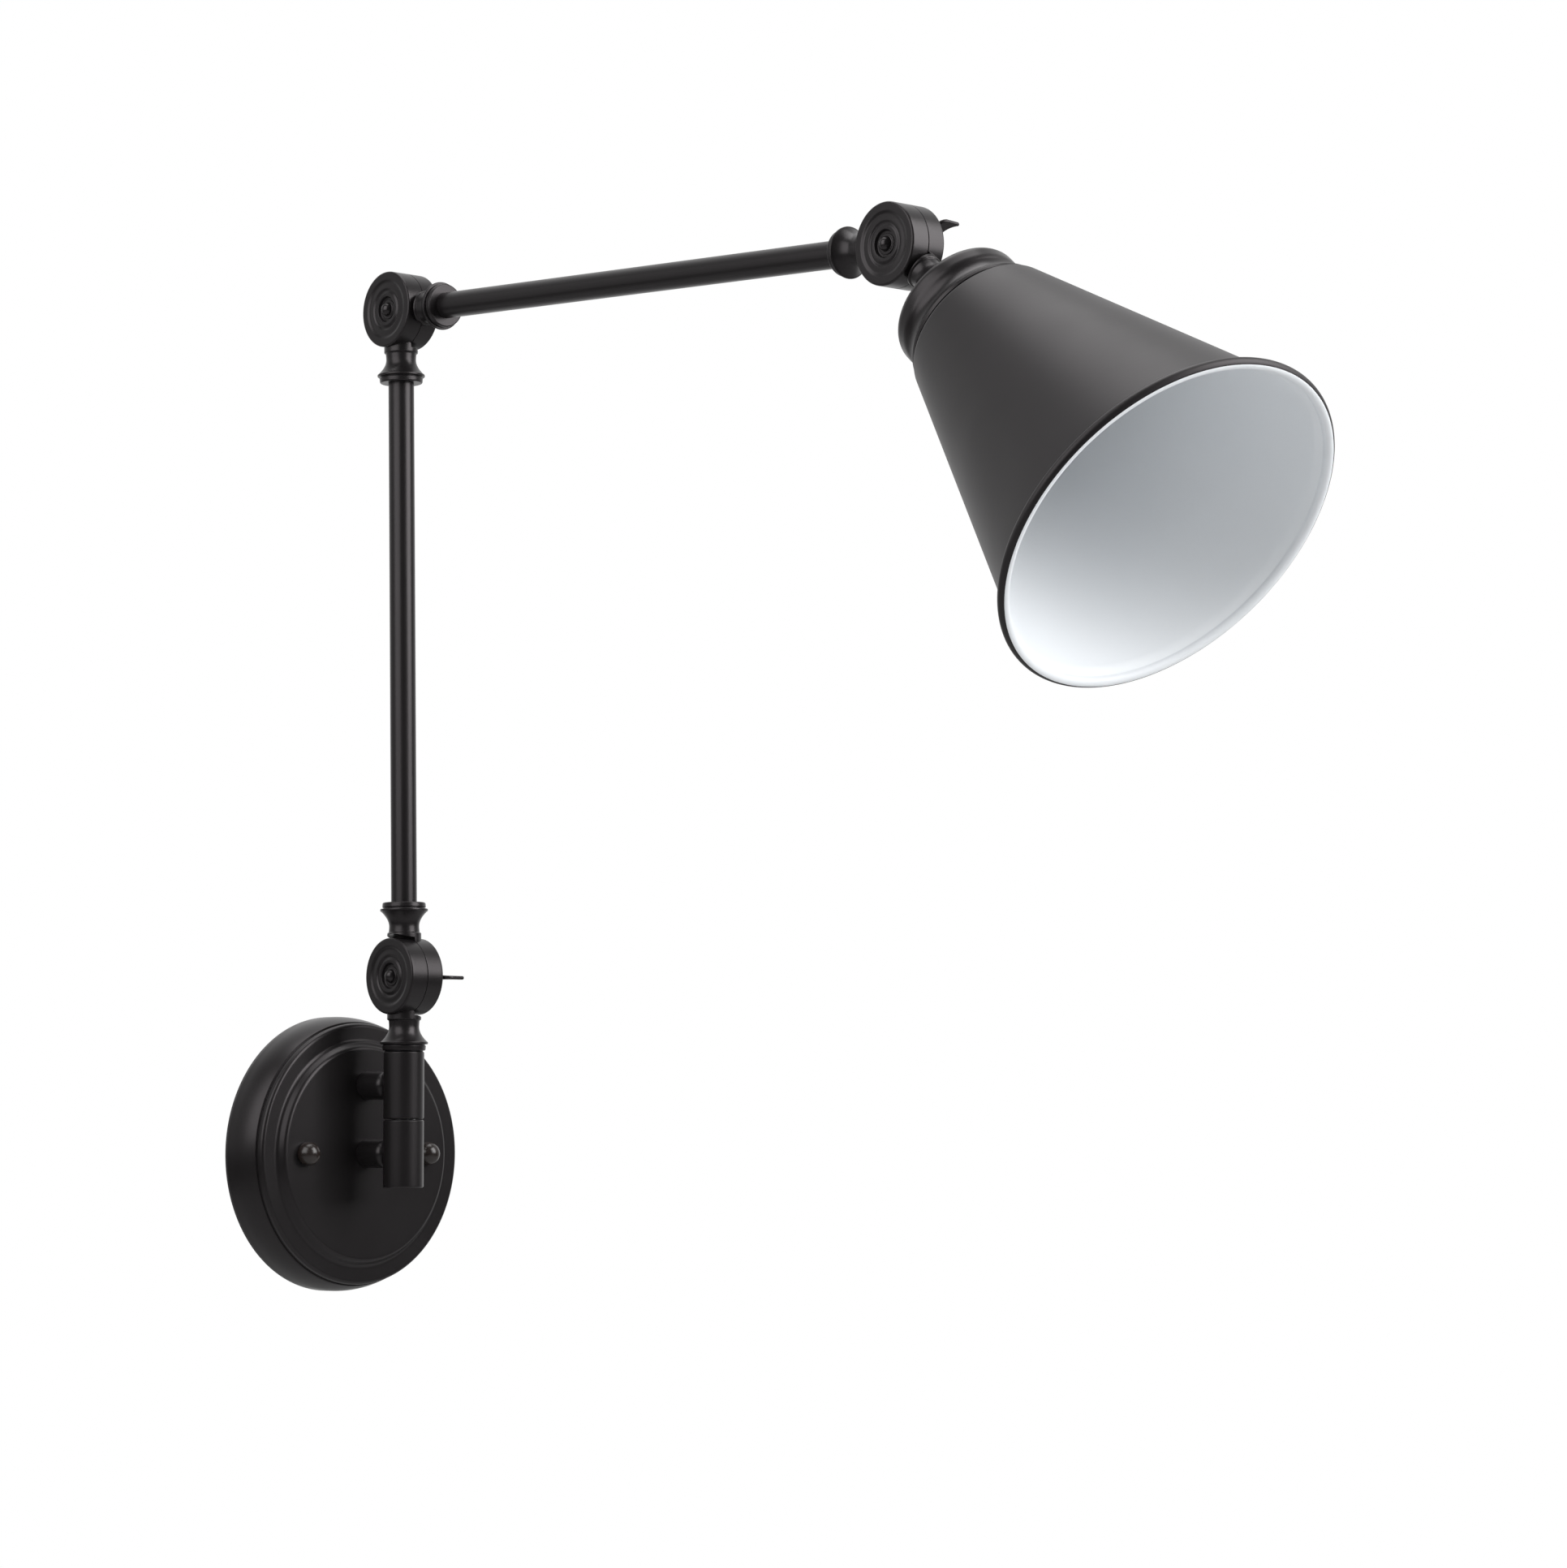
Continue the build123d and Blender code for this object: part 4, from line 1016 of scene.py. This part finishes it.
# Spun shade: the outside runs from the hole over the shoulder, down the cone and the flared lip to
# a rolled bead, nearly a full circle, and the inside comes back one wall further in. The rows up to
# the bead's crest wear the outside's paint and the rest the inside's.
def shadeSkin(sizes):
    top, wall, bead = sizes["top"], sizes["wall"], sizes["bead"]
    rim, mouth = np.array(sizes["rim"]), np.array(sizes["mouth"])
    lip, cone = unit(rim - mouth), unit(mouth - np.array([top, sizes["topRadius"]]))
    coneSide = np.array([-cone[1], cone[0]])
    corners = [(top, sizes["hole"]), (top, sizes["topRadius"], sizes["shoulderRound"])]
    corners += [(*mouth, sizes["lipRound"]), tuple(rim - lip * bead * 0.985)]
    outside = rounded(corners, closed=False, steps=12)
    first, gap = sizes["beadTurn"]
    turn = math.atan2(-lip[1], -lip[0]) - np.linspace(first, 2 * math.pi - gap, 40)
    rolled = rim + bead * np.stack([np.cos(turn), np.sin(turn)], 1)
    inner, innerRound = sizes["insideShoulder"]
    corners = [tuple(rolled[-1]), (*(mouth - coneSide * wall - lip * 0.1), sizes["insideLipRound"])]
    corners += [(top + wall, sizes["topRadius"] - inner, innerRound), (top + wall, sizes["hole"])]
    inside = rounded(corners, closed=False, steps=12)
    outline = np.concatenate([outside, rolled, inside[1:]])
    split = len(outside) + sizes["paintedBead"]
    paint = (np.arange(len(outline)) >= split).astype(int)
    paint[-1] = 0  # the edge of the hole
    return lathe(outline, headAxes, 288, paint=paint)


paints = [finishes["shadeOutside"], finishes["shadeInside"]]
addPiece("spunShade", [shadeSkin(shadeSizes)], "head", ["shade"], paints)
print("head made")

# Parts kept from the frame, by their finish.
keptFinishes = {
    "zincPlate": "stiffener_plate mounting_bracket",
    "zincTurned": "mounting_studs stud_nuts post_locknuts spindle spindle_washer spindle_ring_nut "
    "base_nut_washer elbow_nut_washer head_nut_washer nipple cup_locknut",
    "greenZinc": "ground_screw",
    "brassTurned": "upper_bush lower_bush",
    "blackPaint": "sleeve_end_cap",
    "oxideBlack": "thrust_washer",
    "pressedFibre": "base_friction_washer elbow_friction_washer head_friction_washer",
    "brassDrawn": "centre_contact",
}
for finish, names in keptFinishes.items():
    for name in names.split():
        for slot in nodes[name].material_slots:
            slot.material = finishes[finish]
print("kept parts finished")

# The room, in metres: floor, world, softboxes and camera.
room = {
    "floorHeight": -0.55,
    "floorRadius": 1.8,
    "floorFade": (0.8, 1.75),
    "floorColour": 0.64,
    "floorInGloss": 0.3,
    "floorGlow": 0.3,
    "whiteInGloss": 0.15,
    "worldLevel": 0.48,
    "frontShine": 0.04,
    "backWay": (-0.683, 0.731, 0.3),
    "middle": (0.25, -0.03),
}
floorMiddle = (*room["middle"], room["floorHeight"])
floorRows = [(0, share * room["floorRadius"]) for share in (0.0, 0.5, 1.0)]
floorSkin = lathe(floorRows, axesOf(floorMiddle, up, outOfWall), 96, closedRows=False)
paleFloor = bpy.data.materials.new("paleFloor")
floor = addMesh("floor", [floorSkin], [paleFloor], scale=1)
paleFloor.use_nodes = True
tree = paleFloor.node_tree
tree.nodes.remove(tree.nodes["Principled BSDF"])
place = nodeIn(tree, "ShaderNodeTexCoord")
centred = nodeIn(tree, "ShaderNodeVectorMath", {1: floorMiddle}, operation="SUBTRACT")
distance = nodeIn(tree, "ShaderNodeVectorMath", operation="LENGTH")
near, far = room["floorFade"]
smooth = {"interpolation_type": "SMOOTHSTEP"}
edge = nodeIn(tree, "ShaderNodeMapRange", {"From Min": near, "From Max": far}, **smooth)
matt = nodeIn(tree, "ShaderNodeBsdfDiffuse", {"Color": (*[room["floorColour"]] * 3, 1)})
dim = nodeIn(tree, "ShaderNodeBsdfDiffuse", {"Color": (*[room["floorInGloss"]] * 3, 1)})
glow = nodeIn(tree, "ShaderNodeEmission", {"Color": (1, 1, 1, 1), "Strength": room["floorGlow"]})
white = nodeIn(tree, "ShaderNodeEmission", {"Color": (1, 1, 1, 1), "Strength": 1.0})
lit = nodeIn(tree, "ShaderNodeAddShader")
seen, mattFar, bounce = (nodeIn(tree, "ShaderNodeMixShader") for k in range(3))
rays = nodeIn(tree, "ShaderNodeLightPath")
eye, eyeGlass = (nodeIn(tree, "ShaderNodeMath", operation="MAXIMUM") for k in range(2))
shine = nodeIn(tree, "ShaderNodeMath", {1: room["whiteInGloss"]}, operation="MULTIPLY")
# Camera rays see the lit floor fade to white at its edge, and glossy rays see it dimmer.
linkUp(
    tree,
    (place, "Object", centred, 0),
    (centred, "Vector", distance, 0),
    (distance, "Value", edge, "Value"),
    (matt, 0, lit, 0),
    (glow, 0, lit, 1),
    (edge, "Result", seen, 0),
    (lit, 0, seen, 1),
    (white, 0, seen, 2),
    (rays, "Is Camera Ray", eye, 0),
    (rays, "Is Glossy Ray", shine, 0),
    (shine, 0, eye, 1),
    (eye, 0, eyeGlass, 0),
    (rays, "Is Transmission Ray", eyeGlass, 1),
    (eyeGlass, 0, mattFar, 0),
    (rays, "Is Glossy Ray", bounce, 0),
    (matt, 0, bounce, 1),
    (dim, 0, bounce, 2),
    (bounce, 0, mattFar, 1),
    (seen, 0, mattFar, 2),
    (mattFar, 0, tree.nodes["Material Output"], "Surface"),
)

world = bpy.data.worlds.new("studio")
bpy.context.scene.world = world
world.use_nodes = True
tree = world.node_tree
background = tree.nodes["Background"]
background.inputs["Color"].default_value = (1, 1, 1, 1)
rays = nodeIn(tree, "ShaderNodeLightPath")
eye = nodeIn(tree, "ShaderNodeMath", operation="MAXIMUM")
# The room is white behind the lamp, for glossy rays too, and darker for them in front of it.
direction = nodeIn(tree, "ShaderNodeTexCoord")
facing = nodeIn(tree, "ShaderNodeVectorMath", {1: room["backWay"]}, operation="DOT_PRODUCT")
shineRange = {"From Min": 0.15, "From Max": 1.0, "To Min": room["frontShine"], "To Max": 1.0}
shiny = nodeIn(tree, "ShaderNodeMapRange", shineRange, **smooth)
soft = nodeIn(tree, "ShaderNodeMix", {"A": room["worldLevel"]}, data_type="FLOAT")
level = nodeIn(tree, "ShaderNodeMapRange", {"To Max": 1.0})
linkUp(
    tree,
    (direction, "Generated", facing, 0),
    (facing, "Value", shiny, "Value"),
    (shiny, "Result", soft, "B"),
    (rays, "Is Glossy Ray", soft, "Factor"),
    (soft, "Result", level, "To Min"),
    (rays, "Is Camera Ray", eye, 0),
    (rays, "Is Transmission Ray", eye, 1),
    (eye, 0, level, "Value"),
    (level, "Result", background, "Strength"),
)

# Each softbox stands at a place and faces its aim: place, aim, width and height, and power.
softboxes = {
    "leftBox": ((0.08, -0.95, 0.75), (0.06, 0, 0.5), (0.95, 1.2), 8.5),
    "rightBox": ((1.20, 0.42, 0.78), (0.2, 0, 0.4), (0.95, 1.2), 19.5),
    "topBox": ((0.05, 0.1, 1.8), (0.3, 0, 0.2), (1.1, 1.1), 9.0),
    "fillBox": ((-0.75, -0.89, 0.5), (0.2, 0, 0.3), (1.2, 1.0), 1.2),
}
for name, (spot, aim, size, power) in softboxes.items():
    lamp = bpy.data.lights.new(name, "AREA")
    lamp.shape = "RECTANGLE"
    lamp.size, lamp.size_y = size
    lamp.energy = power
    holder = bpy.data.objects.new(name, lamp)
    bpy.context.scene.collection.objects.link(holder)
    holder.location = spot
    holder.rotation_euler = (Vector(aim) - Vector(spot)).to_track_quat("-Z", "Y").to_euler()
    holder.visible_camera = False

view = {"place": (1.5939, -1.4143, 0.0028), "turn": 43.04, "rise": 4.319, "lens": 110.5}
camera = bpy.data.cameras.new("camera")
camera.lens, camera.sensor_width, camera.sensor_fit = view["lens"], 36.0, "HORIZONTAL"
camera.clip_start, camera.clip_end = 0.05, 50.0
cameraObject = bpy.data.objects.new("camera", camera)
cameraObject.location = view["place"]
cameraObject.rotation_euler = (math.radians(90 + view["rise"]), 0, math.radians(view["turn"]))
bpy.context.scene.collection.objects.link(cameraObject)
bpy.context.scene.camera = cameraObject
bpy.context.scene.view_settings.view_transform = "Standard"
print("room and camera set")

bpy.context.view_layer.update()
